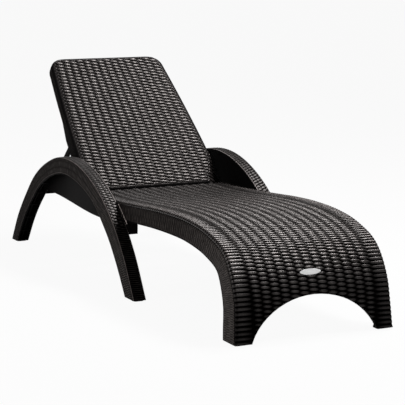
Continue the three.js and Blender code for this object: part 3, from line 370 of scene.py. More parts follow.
def grid_piece(name, faces, place, outward, body, finish):
    """A sheet of faces laid on a moulding, looking in the outward direction.

    place turns shares across (-1 to 1) and along (0 to 1) into points, tones and places of the pattern.
    The tone, which the finish reads from an attribute of the sheet, says how light a strand is drawn:
    it carries painted shade in the gaps and painted highlights. It follows the sheet's height, but rims
    and the painted highlights along edges have tones of their own.
    """
    bm = bmesh.new()
    bmesh.ops.create_grid(bm, x_segments=faces[0], y_segments=faces[1], size=1)
    for face in bm.faces:
        face.smooth = True
    mesh = bpy.data.meshes.new(name)
    bm.to_mesh(mesh)
    bm.free()
    flat = np.zeros(len(mesh.vertices) * 3)
    mesh.vertices.foreach_get("co", flat)
    flat = flat.reshape(-1, 3)
    points, tone, across, along = place(flat[:, 0], (flat[:, 1] + 1) / 2)
    mesh.vertices.foreach_set("co", points.ravel())
    # Painted shade and painted highlights, as a tone for each point
    painted_light = mesh.attributes.new("painted_light", "FLOAT", "POINT")
    painted_light.data.foreach_set("value", tone.astype(np.float32))
    corner = np.zeros(len(mesh.loops), np.int32)
    mesh.loops.foreach_get("vertex_index", corner)
    pattern = mesh.uv_layers.new(name="pattern")
    uv = np.stack([across * MM, along * MM], -1)[corner]
    pattern.data.foreach_set("uv", uv.ravel())
    mesh.update()
    turn_outward(mesh, outward)
    piece = bpy.data.objects.new(name, mesh)
    bpy.context.scene.collection.objects.link(piece)
    mesh.materials.append(finish)
    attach(piece, body)


def turn_outward(mesh, outward):
    """Turns a sheet's faces over where most of them look against the outward direction."""
    total = Vector((0, 0, 0))
    for polygon in mesh.polygons:
        total += polygon.normal * polygon.area
    if total.dot(Vector(outward)) < 0:
        bm = bmesh.new()
        bm.from_mesh(mesh)
        bmesh.ops.reverse_faces(bm, faces=bm.faces)
        bm.to_mesh(mesh)
        bm.free()


# Finishes


def node_tree(name):
    """A new finish with its shader, and two short ways to add and join nodes."""
    finish = bpy.data.materials.new(name)
    finish.use_nodes = True
    tree = finish.node_tree
    tree.nodes.clear()
    output = tree.nodes.new("ShaderNodeOutputMaterial")
    shader = tree.nodes.new("ShaderNodeBsdfPrincipled")
    tree.links.new(shader.outputs["BSDF"], output.inputs["Surface"])

    def node(kind, **values):
        made = tree.nodes.new(kind)
        for key, value in values.items():
            if key in made.inputs:
                made.inputs[key].default_value = value
            else:
                setattr(made, key, value)
        return made

    def join(source, output_name, target, input_name):
        tree.links.new(source.outputs[output_name], target.inputs[input_name])

    return finish, shader, node, join


def ramp(node, join, source, output_name, stops):
    """A colour ramp over a value, with stops as (place, colour)."""
    made = node("ShaderNodeValToRGB")
    elements = made.color_ramp.elements
    while len(elements) < len(stops):
        elements.new(0.5)
    for element, (place, colour) in zip(elements, stops):
        element.position = place
        element.color = (*colour, 1)
    join(source, output_name, made, "Fac")
    return made


def remap(node, join, source, output_name, start=(0.0, 1.0), to=(0.0, 1.0), **values):
    """A value turned from its start range into another range."""
    made = node("ShaderNodeMapRange", **values)
    for name, value in zip(("From Min", "From Max", "To Min", "To Max"), (*start, *to)):
        made.inputs[name].default_value = value
    join(source, output_name, made, "Value")
    return made


def shade(colour, factor):
    """A colour made lighter or darker, without leaving the range of colours."""
    return tuple(min(channel * factor, 1) for channel in colour)


def moulded_plastic(name, colour, roughness, grain=900, grain_depth=0.00012, specular=0.35):
    """Smooth injection moulded plastic: fine grain, faint flow marks and uneven gloss."""
    finish, shader, node, join = node_tree(name)
    where = node("ShaderNodeTexCoord")
    flow = node("ShaderNodeTexNoise", Scale=9.0, Detail=4.0, Roughness=0.55)
    join(where, "Object", flow, "Vector")
    tint = ramp(node, join, flow, "Fac", [(0.3, shade(colour, 0.8)), (0.7, shade(colour, 1.25))])
    join(tint, "Color", shader, "Base Color")
    speck = node("ShaderNodeTexNoise", Scale=grain, Detail=2.0)
    join(where, "Object", speck, "Vector")
    gloss = remap(node, join, speck, "Fac", to=(roughness - 0.07, roughness + 0.09))
    join(gloss, "Result", shader, "Roughness")
    bump = node("ShaderNodeBump", Strength=0.6, Distance=grain_depth)
    join(speck, "Fac", bump, "Height")
    join(bump, "Normal", shader, "Normal")
    shader.inputs["Specular IOR Level"].default_value = specular
    shader.inputs["Specular Tint"].default_value = (*WARM_GLOSS, 1)
    return finish


def woven_plastic(name, colour, roughness, span, specular=0.5, streak=1500, streak_depth=0.0):
    """Moulded plastic strands: painted shade in the gaps, painted highlights on the crowns, fine lines
    along them.

    span is the tone of the highest crown.
    """
    finish, shader, node, join = node_tree(name)
    tone = node("ShaderNodeAttribute", attribute_name="painted_light")
    share = remap(node, join, tone, "Fac", start=(0, span * HIGHLIGHT_TONE))
    # The ramp paints shade into the gaps and highlights onto the highest tones
    stops = [(place, shade(colour, light)) for place, light in STRAND_LIGHTS]
    tint = ramp(node, join, share, "Result", stops)
    where = node("ShaderNodeUVMap", uv_map="pattern")
    stretch = node("ShaderNodeMapping")
    stretch.inputs["Scale"].default_value = (streak / 22, streak, 1)
    join(where, "UV", stretch, "Vector")
    lines = node("ShaderNodeTexNoise", Scale=1.0, Detail=3.0)
    join(stretch, "Vector", lines, "Vector")
    spread = node("ShaderNodeTexNoise", Scale=45.0, Detail=4.0)
    join(where, "UV", spread, "Vector")
    vary = remap(node, join, spread, "Fac", start=(0.3, 0.7), to=(0.6, 1.4))
    streaks = remap(
        node, join, lines, "Fac", start=(0.35, 0.65), to=(1 - streak_depth, 1 + streak_depth))
    both = node("ShaderNodeMath", operation="MULTIPLY")
    join(vary, "Result", both, 0)
    join(streaks, "Result", both, 1)
    mixed = node("ShaderNodeVectorMath", operation="SCALE")
    join(tint, "Color", mixed, 0)
    join(both, "Value", mixed, "Scale")
    join(mixed, "Vector", shader, "Base Color")
    dull = remap(
        node, join, share, "Result", start=(0, 0.7 / HIGHLIGHT_TONE), to=(0.95, roughness - 0.06))
    # Painted shade in the gaps: black metal there stays black at a low angle, where black plastic would
    # shine
    painted_gap_shade = remap(
        node, join, share, "Result", start=(0.25 / HIGHLIGHT_TONE, 0.72 / HIGHLIGHT_TONE), to=(1.0, 0.0),
        interpolation_type="SMOOTHSTEP")
    join(painted_gap_shade, "Result", shader, "Metallic")
    uneven = node("ShaderNodeMath", operation="MULTIPLY_ADD")
    uneven.inputs[1].default_value = 0.16
    join(lines, "Fac", uneven, 0)
    join(dull, "Result", uneven, 2)
    join(uneven, "Value", shader, "Roughness")
    bump = node("ShaderNodeBump", Strength=0.7, Distance=0.00035)
    join(lines, "Fac", bump, "Height")
    join(bump, "Normal", shader, "Normal")
    shader.inputs["Specular IOR Level"].default_value = specular
    shader.inputs["Specular Tint"].default_value = (*WARM_GLOSS, 1)
    return finish


def zinc_steel(name, colour):
    """Zinc plated steel: cloudy plating with small scratches."""
    finish, shader, node, join = node_tree(name)
    where = node("ShaderNodeTexCoord")
    cloud = node("ShaderNodeTexNoise", Scale=220.0, Detail=5.0)
    join(where, "Object", cloud, "Vector")
    tint = ramp(node, join, cloud, "Fac", [(0.35, shade(colour, 0.7)), (0.7, colour)])
    join(tint, "Color", shader, "Base Color")
    gloss = remap(node, join, cloud, "Fac", to=(0.28, 0.5))
    join(gloss, "Result", shader, "Roughness")
    shader.inputs["Metallic"].default_value = 1
    return finish


# Sizes and colours that can be changed


class WeaveSizes(bpy.types.PropertyGroup):
    seat_column: FloatProperty(
        name="Seat column", description="Width of one column of the seat's weave",
        default=0.03677, min=0.01, max=0.1, unit="LENGTH")
    back_border: FloatProperty(
        name="Back border", description="Width of the smooth border beside the back's weave",
        default=0.018, min=0.004, max=0.05, unit="LENGTH")
    strand_lift: FloatProperty(
        name="Strand lift", description="How far a strand rises over a column and sinks under the next",
        default=0.0013, min=0, max=0.002, unit="LENGTH")
    strand_round: FloatProperty(
        name="Strand roundness", description="How far a strand's crown stands above its edges",
        default=0.0022, min=0, max=0.003, unit="LENGTH")
    band_pitch: FloatProperty(
        name="Arm band", description="Distance from one band across the arm to the next",
        default=0.0078, min=0.003, max=0.03, unit="LENGTH")


class FinishColours(bpy.types.PropertyGroup):
    weave: FloatVectorProperty(
        name="Weave", description="Colour of the woven mouldings", subtype="COLOR",
        size=3, min=0, max=1, default=(0.0185, 0.0160, 0.0154))
    # This and the next colour are lit and shaded copies of one plastic, painted light: this one for the
    # lit sides of the rails and arms
    sides: FloatVectorProperty(
        name="Sides", description="Colour of the rails and arms", subtype="COLOR",
        size=3, min=0, max=1, default=(0.058, 0.0505, 0.0475))
    # Painted shade: a much darker copy of the same plastic, for the shell, the arms' other faces, the
    # fittings and the back's sides
    shaded_plastic: FloatVectorProperty(
        name="Fittings", description="Colour of the prop, racks and cross members", subtype="COLOR",
        size=3, min=0, max=1, default=(0.006, 0.0055, 0.0055))
    plate: FloatVectorProperty(
        name="Plate", description="Colour of the bare oval plate", subtype="COLOR",
        size=3, min=0, max=1, default=(0.97, 0.97, 0.96))
    floor: FloatVectorProperty(
        name="Floor", description="Colour of the studio floor", subtype="COLOR",
        size=3, min=0, max=1, default=(0.78, 0.78, 0.78))


class LoungerStep:
    """What every step of making the lounger shares."""

    bl_options = {"REGISTER", "UNDO"}

    @classmethod
    def poll(cls, context):
        return context.scene is not None


class LOUNGER_OT_seat_weave(LoungerStep, bpy.types.Operator):
    """Lay the woven surface on the foot end and the seat"""

    bl_idname = "lounger.seat_weave"
    bl_label = "Seat Weave"

    def execute(self, context):
        sizes = context.scene.lounger_weave
        colours = context.scene.lounger_colours
        finish = woven_plastic("seat_strands", colours.weave, 0.23, relief_span(sizes))
        for name, start, end, faces in (
                ("foot_weave", None, FOOT_END, FOOT_FACES),
                ("seat_weave_front", FOOT_END, SEAT_SPLIT, SEAT_FACES),
                ("seat_weave_rear", SEAT_SPLIT, SEAT.length, SEAT_FACES)):
            grid_piece(
                name, faces, seat_places(sizes, start, end), (0, -1, 1), "frame",
                finish)
        return {"FINISHED"}


def relief_span(sizes):
    """Height of the highest crown above the deepest gap, in millimetres."""
    return sizes.strand_lift * 2 / MM + sizes.strand_round / MM


def arch_start(x):
    """Arc length of the seat line at which the foot arch's edge lies, for each x."""
    inside = np.clip(1 - (x / ARCH_HALF_WIDTH) ** 2, 0, 1)
    z = (ARCH_HEIGHT + ARCH_CENTRE_DEPTH) * np.sqrt(inside) - ARCH_CENTRE_DEPTH
    rising = SEAT.points[:, 1] < SEAT_HEIGHT * 0.6
    return np.interp(np.maximum(z, SOLE), SEAT.points[rising, 1], SEAT.arc[rising])


def laid_on(height, edge_distance):
    """How far a sheet stands proud of its moulding: its border sinks in, so that no gap shows."""
    inside = fade_in(edge_distance, 0, SHEET_BORDER)
    return SHEET_BASE + height - (1 - inside) * (SHEET_BASE + SHEET_SINK + height)


def badge_cover(x, arc):
    """1 where the oval plate lies on the foot end, 0 away from it."""
    middle = np.interp(SEAT_HEIGHT * BADGE_PLACE, SEAT.points[:1500, 1], SEAT.arc[:1500])
    off = np.hypot(x / (BADGE_HALF[0] + 1), (arc - middle) / (BADGE_HALF[1] + 1))
    return np.clip((1.12 - off) / 0.1, 0, 1)


def seat_places(sizes, start, end):
    """Places of the woven surface between two arc lengths, or from the foot arch if start is None."""
    column = sizes.seat_column / MM
    lift = sizes.strand_lift / MM
    crown = sizes.strand_round / MM
    span = relief_span(sizes)
    turn = math.acos(1 - EDGE_SPLIT / EDGE_RADIUS)

    def place(across, along):
        first = start if start is not None else np.zeros_like(across)
        for _ in range(4):
            arc = first + (end - first) * along
            half = seat_half(arc)
            t = across * (half - EDGE_RADIUS + EDGE_RADIUS * turn + EDGE_OVERLAP)
            if start is None:
                first = arch_start(np.minimum(np.abs(t), half))
        arc = first + (end - first) * along
        side, t = np.sign(t), np.abs(t)
        beyond = t - (half - EDGE_RADIUS)
        angle = np.clip(beyond / EDGE_RADIUS, 0, None)
        inner = SEAT_COLUMNS / 2 * column
        border = np.clip((t - inner) / (half - inner), 0, None) * SEAT_BORDER_COLUMNS
        columns = np.where(t < inner, t / column, SEAT_COLUMNS / 2 + border)
        strands = strand_count(SEAT_SPACING, arc)
        height = plain_weave(side * columns, strands, lift, crown, np.interp(arc, *SEAT_FLOAT))
        fade = 1 - fade_in(beyond, 1, EDGE_RADIUS * 1.1)
        # Painted shade: the strands darken towards their gaps, more steeply further from the foot end
        shown = span * (height / span) ** np.interp(arc, *SEAT_GAPS)
        tone = shown * fade + SEAT_RIM_TONE * span * (1 - fade)
        # Painted shade on the foot end, painted highlights on the crowns over the knee and seat
        tone = tone * np.interp(arc, *SEAT_PAINTED_LIGHT)
        edges = [EDGE_RADIUS * turn + EDGE_OVERLAP - beyond]
        if start is None:
            edges.append(arc - first)
        if end == SEAT.length:
            edges.append(end - arc)
        edge = np.min(edges, axis=0)
        height = height * fade * fade_in(edge, 0, 4.0) * (1 - badge_cover(t, arc))
        point, way = SEAT.at(arc)
        proud = np.minimum(laid_on(height, edge), point[:, 0] + FOOT_PROUD)
        outward = np.stack([-way[:, 1], way[:, 0]], -1)
        rise = EDGE_RADIUS * (np.cos(angle) - 1) + proud * np.cos(angle)
        flat_or_round = np.where(angle > 0, half - EDGE_RADIUS + EDGE_RADIUS * np.sin(angle), t)
        x = side * (flat_or_round + proud * np.sin(angle))
        y = point[:, 0] + outward[:, 0] * rise
        z = point[:, 1] + outward[:, 1] * rise
        return to_scene(x, y, z), tone, side * t, arc

    return place


class LOUNGER_OT_back_weave(LoungerStep, bpy.types.Operator):
    """Lay the woven surface on the front of the back"""

    bl_idname = "lounger.back_weave"
    bl_label = "Back Weave"

    def execute(self, context):
        sizes = context.scene.lounger_weave
        colours = context.scene.lounger_colours
        finish = woven_plastic("back_strands", colours.weave, 0.23, relief_span(sizes))
        for name, start, end in (("back_weave_lower", 0.0, 0.5), ("back_weave_upper", 0.5, 1.0)):
            grid_piece(
                name, BACK_FACES, back_places(sizes, start, end), (0, -1, 1), "backrest",
                finish)
        # Painted shade: the back's side strands take the much darker, shaded copy of the plastic
        ribs = woven_plastic("skirt_strands", colours.shaded_plastic, 0.5, SIDE_SPAN, specular=0.02)
        for side, word in SIDES:
            grid_piece(
                f"{word}_cheek_weave", CHEEK_FACES, cheek_places(sizes, side), (side, -1, 1),
                "backrest", finish)
            grid_piece(
                f"{word}_skirt_weave", SKIRT_FACES, skirt_places(side), (side, 0, 0),
                "backrest", ribs)
        return {"FINISHED"}


def quadratic(first, pull, last, count):
    """Points of a curve between two places that a third one pulls."""
    t = np.linspace(0, 1, count)[:, None]
    first, pull, last = (np.array(p, float) for p in (first, pull, last))
    return first * (1 - t) ** 2 + pull * 2 * t * (1 - t) + last * t**2


def back_side():
    """Half outline of the back's front face, as [half width, y] with y rising."""
    start = BACK_START
    end = BACK_START + BACK_LENGTH
    middle = (start + BACK_FOOT_ROUND + end - BACK_HEAD_ROUND) / 2
    bulge = (BACK_HALF_FOOT + BACK_HALF_HEAD) / 2 + BACK_BULGE
    lower = quadratic(
        (BACK_HALF_FOOT - BACK_FOOT_ROUND, start), (BACK_HALF_FOOT, start),
        (BACK_HALF_FOOT, start + BACK_FOOT_ROUND), 40)
    side = quadratic(
        (BACK_HALF_FOOT, start + BACK_FOOT_ROUND), (bulge, middle),
        (BACK_HALF_HEAD, end - BACK_HEAD_ROUND), 80)
    upper = quadratic(
        (BACK_HALF_HEAD, end - BACK_HEAD_ROUND), (BACK_HALF_HEAD, end),
        (BACK_HALF_HEAD - BACK_HEAD_ROUND, end), 60)
    return np.vstack([lower, side[1:], upper[1:]])


def cheek_crease(y):
    """Half width at which the fold of the lower corner lies."""
    return BACK_HALF_FOOT - CHEEK_WIDTH + CHEEK_WIDTH * (y - BACK_START) / CHEEK_LENGTH


def cheek_fall(x, y):
    """How far a place lies past the fold: 0 on it, 1 on the corner."""
    return (x - (BACK_HALF_FOOT - CHEEK_WIDTH)) / CHEEK_WIDTH - (y - BACK_START) / CHEEK_LENGTH


def back_weave_at(sizes, x, y):
    """Height of the back's weave, whose columns fan out with the back's width."""
    column = (np.interp(y, *BACK_HALF_WIDTHS) - sizes.back_border / MM) * 2 / BACK_COLUMNS
    return plain_weave(
        x / column, strand_count(BACK_SPACING, y), sizes.strand_lift / MM, sizes.strand_round / MM)


def back_places(sizes, start, end):
    """Places of the woven surface between two shares of the back's length."""
    border = sizes.back_border / MM
    span = relief_span(sizes)
    outline = back_side()

    def place(across, along):
        low = BACK_START + BACK_EDGE
        high = BACK_START + BACK_LENGTH - BACK_EDGE
        y = low + (high - low) * (start + (end - start) * along)
        half = np.interp(y, outline[:, 1], outline[:, 0]) - BACK_EDGE
        crease = cheek_crease(y)
        limit = np.where(y < BACK_START + CHEEK_LENGTH, np.minimum(half, crease), half)
        x = across * limit
        height = back_weave_at(sizes, x, y)
        rim = np.min((half - np.abs(x), (y - low) * 2, (high - y) * 1.6), axis=0)
        fade = fade_in(rim, 2, border * 0.6)
        edge = np.min((limit - np.abs(x), y - low, high - y), axis=0)
        tone = height * fade + BACK_RIM_TONE * span * (1 - fade)
        height = height * fade * fade_in(edge, 0, 2.0)
        return from_back(x, y, BACK_FACE + laid_on(height, edge)), tone, x, y

    return place


def cheek_places(sizes, side):
    """Places of the weave on one folded lower corner of the back."""
    outline = back_side()
    outward = np.array([CHEEK_DEPTH / CHEEK_WIDTH, -CHEEK_DEPTH / CHEEK_LENGTH, 1])
    outward = outward / np.linalg.norm(outward)

    def place(across, along):
        y = BACK_START + 2 + (CHEEK_LENGTH - 4) * along
        crease = cheek_crease(y)
        half = np.interp(y, outline[:, 1], outline[:, 0])
        last = np.maximum(half - 1.0, crease + 0.5)
        x = crease + (last - crease) * (across + 1) / 2
        fall = cheek_fall(x, y)
        end = np.minimum(along, 1 - along) * CHEEK_LENGTH
        edge = np.min((x - crease, last - x, end), axis=0)
        height = back_weave_at(sizes, x, y)
        proud = laid_on(height * fade_in(edge, 0, 3.0), edge)
        x_out = x + outward[0] * proud
        z = BACK_FACE - CHEEK_DEPTH * fall + outward[2] * proud
        return from_back(side * x_out, y + outward[1] * proud, z), height, x, y

    return place


def skirt_places(side):
    """Places of the fine weave on one side of the back."""
    path = back_side()
    path = path[path[:, 1] > BACK_START + 6]
    arc = np.concatenate([[0], np.cumsum(np.linalg.norm(np.diff(path, axis=0), axis=1))])
    ways = np.gradient(path, arc, axis=0)

    def place(across, along):
        s = 1 + (arc[-1] - 2) * along
        x, y = (np.interp(s, arc, path[:, k]) for k in (0, 1))
        way = np.stack([np.interp(s, arc, ways[:, k]) for k in (0, 1)], -1)
        way = way / np.linalg.norm(way, axis=-1, keepdims=True)
        fall = cheek_fall(x, y)
        top = np.minimum(BACK_FACE - BACK_EDGE - 0.5, BACK_FACE - CHEEK_DEPTH * fall - 1.5)
        low = np.interp(y, SKIRT_CHANGE, SKIRT_FOOT) + 1.0
        z = low + (top - low) * (across + 1) / 2
        height = side_weave(z, s / SKIRT_SPACING)
        edge = np.min((z - low, top - z, s, arc[-1] - s), axis=0)
        proud = laid_on(height * fade_in(edge, 0.8, 2.0), edge)
        return from_back(side * (x + way[:, 1] * proud), y - way[:, 0] * proud, z), height, z, s

    return place


class LOUNGER_OT_arm_bands(LoungerStep, bpy.types.Operator):
    """Lay the banded surface along the top of both arms"""

    bl_idname = "lounger.arm_bands"
    bl_label = "Arm Bands"

    def execute(self, context):
        sizes = context.scene.lounger_weave
        colours = context.scene.lounger_colours
        finish = woven_plastic("arm_strands", colours.weave, 0.3, ARM_SPAN)
        for side, word in SIDES:
            grid_piece(
                f"{word}_arm_bands", ARM_FACES, arm_places(sizes, side), (0, 0, 1),
                "frame", finish)
        return {"FINISHED"}


def arm_places(sizes, side):
    """Places of the weave along the top of one arm, with fine ribs low on its front leg."""
    pitch = sizes.band_pitch / MM
    low = ARM_INNER + ARM_MARGIN
    high = ARM_OUTER - ARM_MARGIN

    def place(across, along):
        first, last = level_ends(np.array([0.5]), lambda arc, share: TOP.at(arc)[0][:, 1], TOP)
        arc = first[0] + (last[0] - first[0]) * along
        # The faces crowd towards both edges, where the painted highlights of the bead and the outer
        # line are
        spread = 0.6 * across + 0.4 * np.sin(across * math.pi / 2)
        x = (low + high) / 2 + (high - low) / 2 * spread
        counted = (x - low) / (high - low) * ARM_COLUMNS
        height = plain_weave(counted, arc / pitch, ARM_LIFT, ARM_CROWN)
        point, way = TOP.at(arc)
        above = fade_in(point[:, 1], ARM_FINE_TOP, ARM_FINE_BLEND)
        woven = np.where(arc > TOP.length / 2, above, 1)
        ribs = 0.5 + 0.5 * np.cos(2 * math.pi * arc / pitch)
        tone = height * woven + ARM_SPAN * ribs**2 * (1 - woven)
        height = height * woven + (ARM_FINE_BASE + ARM_FINE_DEPTH * ribs) * (1 - woven)
        rim = np.minimum(x - low, high - x)
        fade = fade_in(rim, 2.0, 2.0)
        bead = half_round(x - low, ARM_BEAD_PLACE, ARM_BEAD_HALF)
        # Painted highlights along the bead and along the outer edge
        painted_highlight = np.maximum(bead, np.where(high - x < ARM_LINE_WIDTH, ARM_LINE_HIGHLIGHT, 0))
        tone = tone * fade + ARM_RIM_TONE * ARM_SPAN * (1 - fade)
        tone = np.maximum(tone, ARM_SPAN * HIGHLIGHT_TONE * painted_highlight)
        height = np.maximum(height * fade, bead * ARM_BEAD_HEIGHT)
        edge = np.min((rim, arc - first[0], last[0] - arc), axis=0)
        proud = laid_on(height, edge)
        outward = np.stack([way[:, 1], -way[:, 0]], -1)
        y = point[:, 0] + outward[:, 0] * proud
        z = point[:, 1] + outward[:, 1] * proud
        return to_scene(side * x, y, z), tone, x, arc

    return place


def level_ends(shares, height_of, line):
    """Arc lengths at which a sheet meets the floor, front and rear, for each share across it."""
    ends = []
    for guess in (8.0, line.length - 8.0):
        arc = np.full_like(shares, guess, float)
        for _ in range(8):
            here = height_of(arc, shares)
            slope = (height_of(arc + 1.0, shares) - here)
            arc = np.clip(arc + (SOLE + 1 - here) / slope, 0, line.length)
        ends.append(arc)
    return ends


class LOUNGER_OT_rail_ribs(LoungerStep, bpy.types.Operator):
    """Lay the finely ribbed surface on the sides of the rails and the arms"""

    bl_idname = "lounger.rail_ribs"
    bl_label = "Side Ribs"

    def execute(self, context):
        colours = context.scene.lounger_colours
        finish = woven_plastic(
            "side_ribs", colours.sides, 0.5, RIB_DEPTH,
            specular=0.03, streak=240, streak_depth=0.25)
        arm_finish = woven_plastic(
            "arm_side_strands", colours.sides, 0.5, SIDE_SPAN,
            specular=0.03, streak=200, streak_depth=0.3)
        thickness = arm_thickness()
        for side, word in SIDES:
            outward = (side, 0, 0)
            grid_piece(
                f"{word}_rail_ribs", RAIL_FACES, rail_places(side), outward,
                "frame", finish)
            grid_piece(
                f"{word}_arm_ribs", ARM_SIDE_FACES, arm_side_places(side, thickness), outward,
                "frame", arm_finish)
            grid_piece(
                f"{word}_flange_edge", FLANGE_FACES, flange_places(side), outward,
                "frame", finish)
        return {"FINISHED"}


def side_weave(across, counted):
    """Height of the small strands on a side face, from millimetres across it and strands along it."""
    bricks = np.cos(math.pi * across / SIDE_COLUMN)
    ribs = np.cos(2 * math.pi * counted) * np.sign(bricks) * np.abs(bricks) ** SIDE_END_POWER
    return SIDE_SPAN * (0.5 + 0.5 * ribs) ** SIDE_RISE_POWER


def rail_places(side):
    """Places of the fine ribs on the side of one seat rail."""
    low = EDGE_SPLIT - EDGE_OVERLAP

    def where(arc, share):
        depth_at = RAIL_DEPTHS[0] + (RAIL_DEPTHS[1] - RAIL_DEPTHS[0]) * arc / SEAT.length
        depth = low + (depth_at - RAIL_MARGIN - low) * share
        point, way = SEAT.at(arc)
        return depth, depth_at, point[:, 0] + way[:, 1] * depth, point[:, 1] - way[:, 0] * depth

    def place(across, along):
        shares = np.unique(across) / 2 + 0.5
        first, _ = level_ends(shares, lambda arc, share: where(arc, share)[3], SEAT)
        share = across / 2 + 0.5
        begin = np.interp(share, shares, first)
        limit = SEAT.length - RAIL_END
        arc = begin + (limit - begin) * along
        depth, depth_at, y, z = where(arc, share)
        edge = np.min(
            (depth - low, depth_at - RAIL_MARGIN - depth, arc - begin, limit - arc), axis=0)
        ribs = side_weave(depth, strand_count(RAIL_SPACING, arc)) / SIDE_SPAN
        height = RIB_DEPTH * ribs ** np.interp(arc, *RAIL_GROOVES)
        curved = np.clip(EDGE_RADIUS - depth, 0, None)
        surface = seat_half(arc) - EDGE_RADIUS + np.sqrt(EDGE_RADIUS**2 - curved**2)
        x = side * (surface + laid_on(height * fade_in(edge, 1.0, 2.0), edge))
        # The ribs' tone carries painted shade, darker further from the foot end
        return to_scene(x, y, z), height * np.interp(arc, *RAIL_PAINTED_SHADE), depth, arc

    return place


def flange_places(side):
    """Places of an arm's fixing flange's front edge, a half round bead on the rail's side with a
    painted highlight.
    """
    front = TOP.arc > TOP.length / 2

    def place(across, along):
        z = FLANGE_HEIGHTS[0] + (FLANGE_HEIGHTS[1] - FLANGE_HEIGHTS[0]) * along
        y = np.interp(z, TOP.points[front, 1][::-1], TOP.points[front, 0][::-1]) - FLANGE_REACH
        proud = FLANGE_BEAD_HEIGHT * np.sqrt(1 - across**2) - FLANGE_BEAD_SINK
        # A painted highlight all along the bead
        tone = np.full_like(z, RIB_DEPTH * HIGHLIGHT_TONE)
        x = side * (SEAT_WIDTH / 2 + proud)
        return to_scene(x, y + FLANGE_BEAD_HALF * across, z), tone, across, z

    return place


def arm_thickness():
    """How thick the arch is, square to its top line, as [arc length, thickness]."""
    arc = np.linspace(0, TOP.length, 600)
    point, way = TOP.at(arc)
    inward = np.stack([-way[:, 1], way[:, 0]], -1)
    # The lines under the arch go straight on below the floor, so that every place finds one
    beyond = np.array([-150.0])
    before, _ = UNDER.at(beyond)
    after, _ = LEG.at(beyond)
    other = np.vstack([before, UNDER.points[::20], LEG.points[::-20], LEG.points[:1], after])
    first, run = other[:-1], np.diff(other, axis=0)
    gap = first[None] - point[:, None]
    cross = inward[:, None, 0] * run[None, :, 1] - inward[:, None, 1] * run[None, :, 0]
    cross = np.where(np.abs(cross) < 1e-9, 1e-9, cross)
    reach = (gap[..., 0] * run[None, :, 1] - gap[..., 1] * run[None, :, 0]) / cross
    share = (gap[..., 0] * inward[:, None, 1] - gap[..., 1] * inward[:, None, 0]) / cross
    good = (share >= 0) & (share <= 1) & (reach > 5)
    return arc, np.min(np.where(good, reach, 120.0), axis=1)


def arm_side_places(side, thickness):
    """Places of the small strands on the outer side of one arm's arch."""
    low = ARM_SIDE_MARGINS[0]

    def where(arc, share):
        point, way = TOP.at(arc)
        high = np.interp(arc, *thickness) - ARM_SIDE_MARGINS[1]
        depth = low + (high - low) * share
        return depth, high, point[:, 0] - way[:, 1] * depth, point[:, 1] + way[:, 0] * depth

    def place(across, along):
        shares = np.unique(across) / 2 + 0.5
        first, last = level_ends(shares, lambda arc, share: where(arc, share)[3], TOP)
        share = across / 2 + 0.5
        begin = np.interp(share, shares, first)
        stop = np.interp(share, shares, last)
        arc = begin + (stop - begin) * along
        depth, high, y, z = where(arc, share)
        edge = np.min((depth - low, high - depth, arc - begin, stop - arc), axis=0)
        bead = half_round(high - depth, ARM_SIDE_BEAD_PLACE, ARM_SIDE_BEAD_HALF)
        fade = fade_in(high - depth, 4.5, 2.0)
        height = side_weave(depth, strand_count(ARM_SPACING, arc))
        # Painted shade: the arm's side is darker over its rear leg and arch than on its front leg
        shaded = height * fade * np.interp(arc / TOP.length, *ARCH_PAINTED_SHADE)
        # Painted highlight: the bead along the arch is drawn as light as the strands' crowns
        tone = np.maximum(shaded, bead * SIDE_SPAN)
        height = np.maximum(height * fade, bead * ARM_SIDE_BEAD_HEIGHT) * fade_in(edge, 0, 1.5)
        x = side * (ARM_OUTER - ARM_SIDE_INSET + laid_on(height, edge))
        return to_scene(x, y, z), tone, depth, arc

    return place


class LOUNGER_OT_mouldings(LoungerStep, bpy.types.Operator):
    """Give the plastic mouldings their finish"""

    bl_idname = "lounger.mouldings"
    bl_label = "Mouldings"

    def execute(self, context):
        colours = context.scene.lounger_colours
        # Painted shade: the mouldings take the much darker, shaded copy of the plastic
        shell = moulded_plastic("shell_plastic", colours.shaded_plastic, 0.55, specular=0.01)
        arm = moulded_plastic("arm_plastic", colours.shaded_plastic, 0.5, specular=0.01)
        inner = moulded_plastic("fitting_plastic", colours.shaded_plastic, 0.6, specular=0.02)
        for name in ("seat_shell", "backrest_panel"):
            finish_node(name, shell)
        for _, word in SIDES:
            finish_node(f"{word}_arm", arm)
            for part in ("rack", "hinge_pin", "prop_pin"):
                finish_node(f"{word}_{part}", inner)
        for name in ("front_cross_member", "rear_cross_bar", "backrest_prop"):
            finish_node(name, inner)
        return {"FINISHED"}


def finish_node(name, finish):
    """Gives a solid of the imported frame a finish."""
    node = frame["nodes"][name]
    if not node.material_slots:
        raise RuntimeError(f"{name} has no material slot")
    for slot in node.material_slots:
        slot.material = finish


class LOUNGER_OT_hardware(LoungerStep, bpy.types.Operator):
    """Give the bolts, glides and oval plate their finish"""

    bl_idname = "lounger.hardware"
    bl_label = "Hardware"

    def execute(self, context):
        steel = zinc_steel("zinc_plating", (0.55, 0.56, 0.57))
        rubber = moulded_plastic("glide_rubber", (0.006, 0.006, 0.006), 0.85, grain=500)
        plate = moulded_plastic("plate_enamel", context.scene.lounger_colours.plate, 0.3, grain=400)
        for name in frame["nodes"]:
            if "bolt" in name:
                finish_node(name, steel)
            elif "glide" in name:
                finish_node(name, rubber)
        finish_node("oval_badge", plate)
        return {"FINISHED"}


class LOUNGER_OT_stage(LoungerStep, bpy.types.Operator):
    """Set up the pale floor, the soft studio lamps and the camera"""

    bl_idname = "lounger.stage"
    bl_label = "Stage"

    def execute(self, context):
        scene = context.scene
        scene.view_settings.view_transform = "Standard"
        build_floor(scene.lounger_colours.floor)
        build_world(scene)
        for lamp in LAMPS:
            build_lamp(scene, *lamp)
        build_camera(scene)
        return {"FINISHED"}


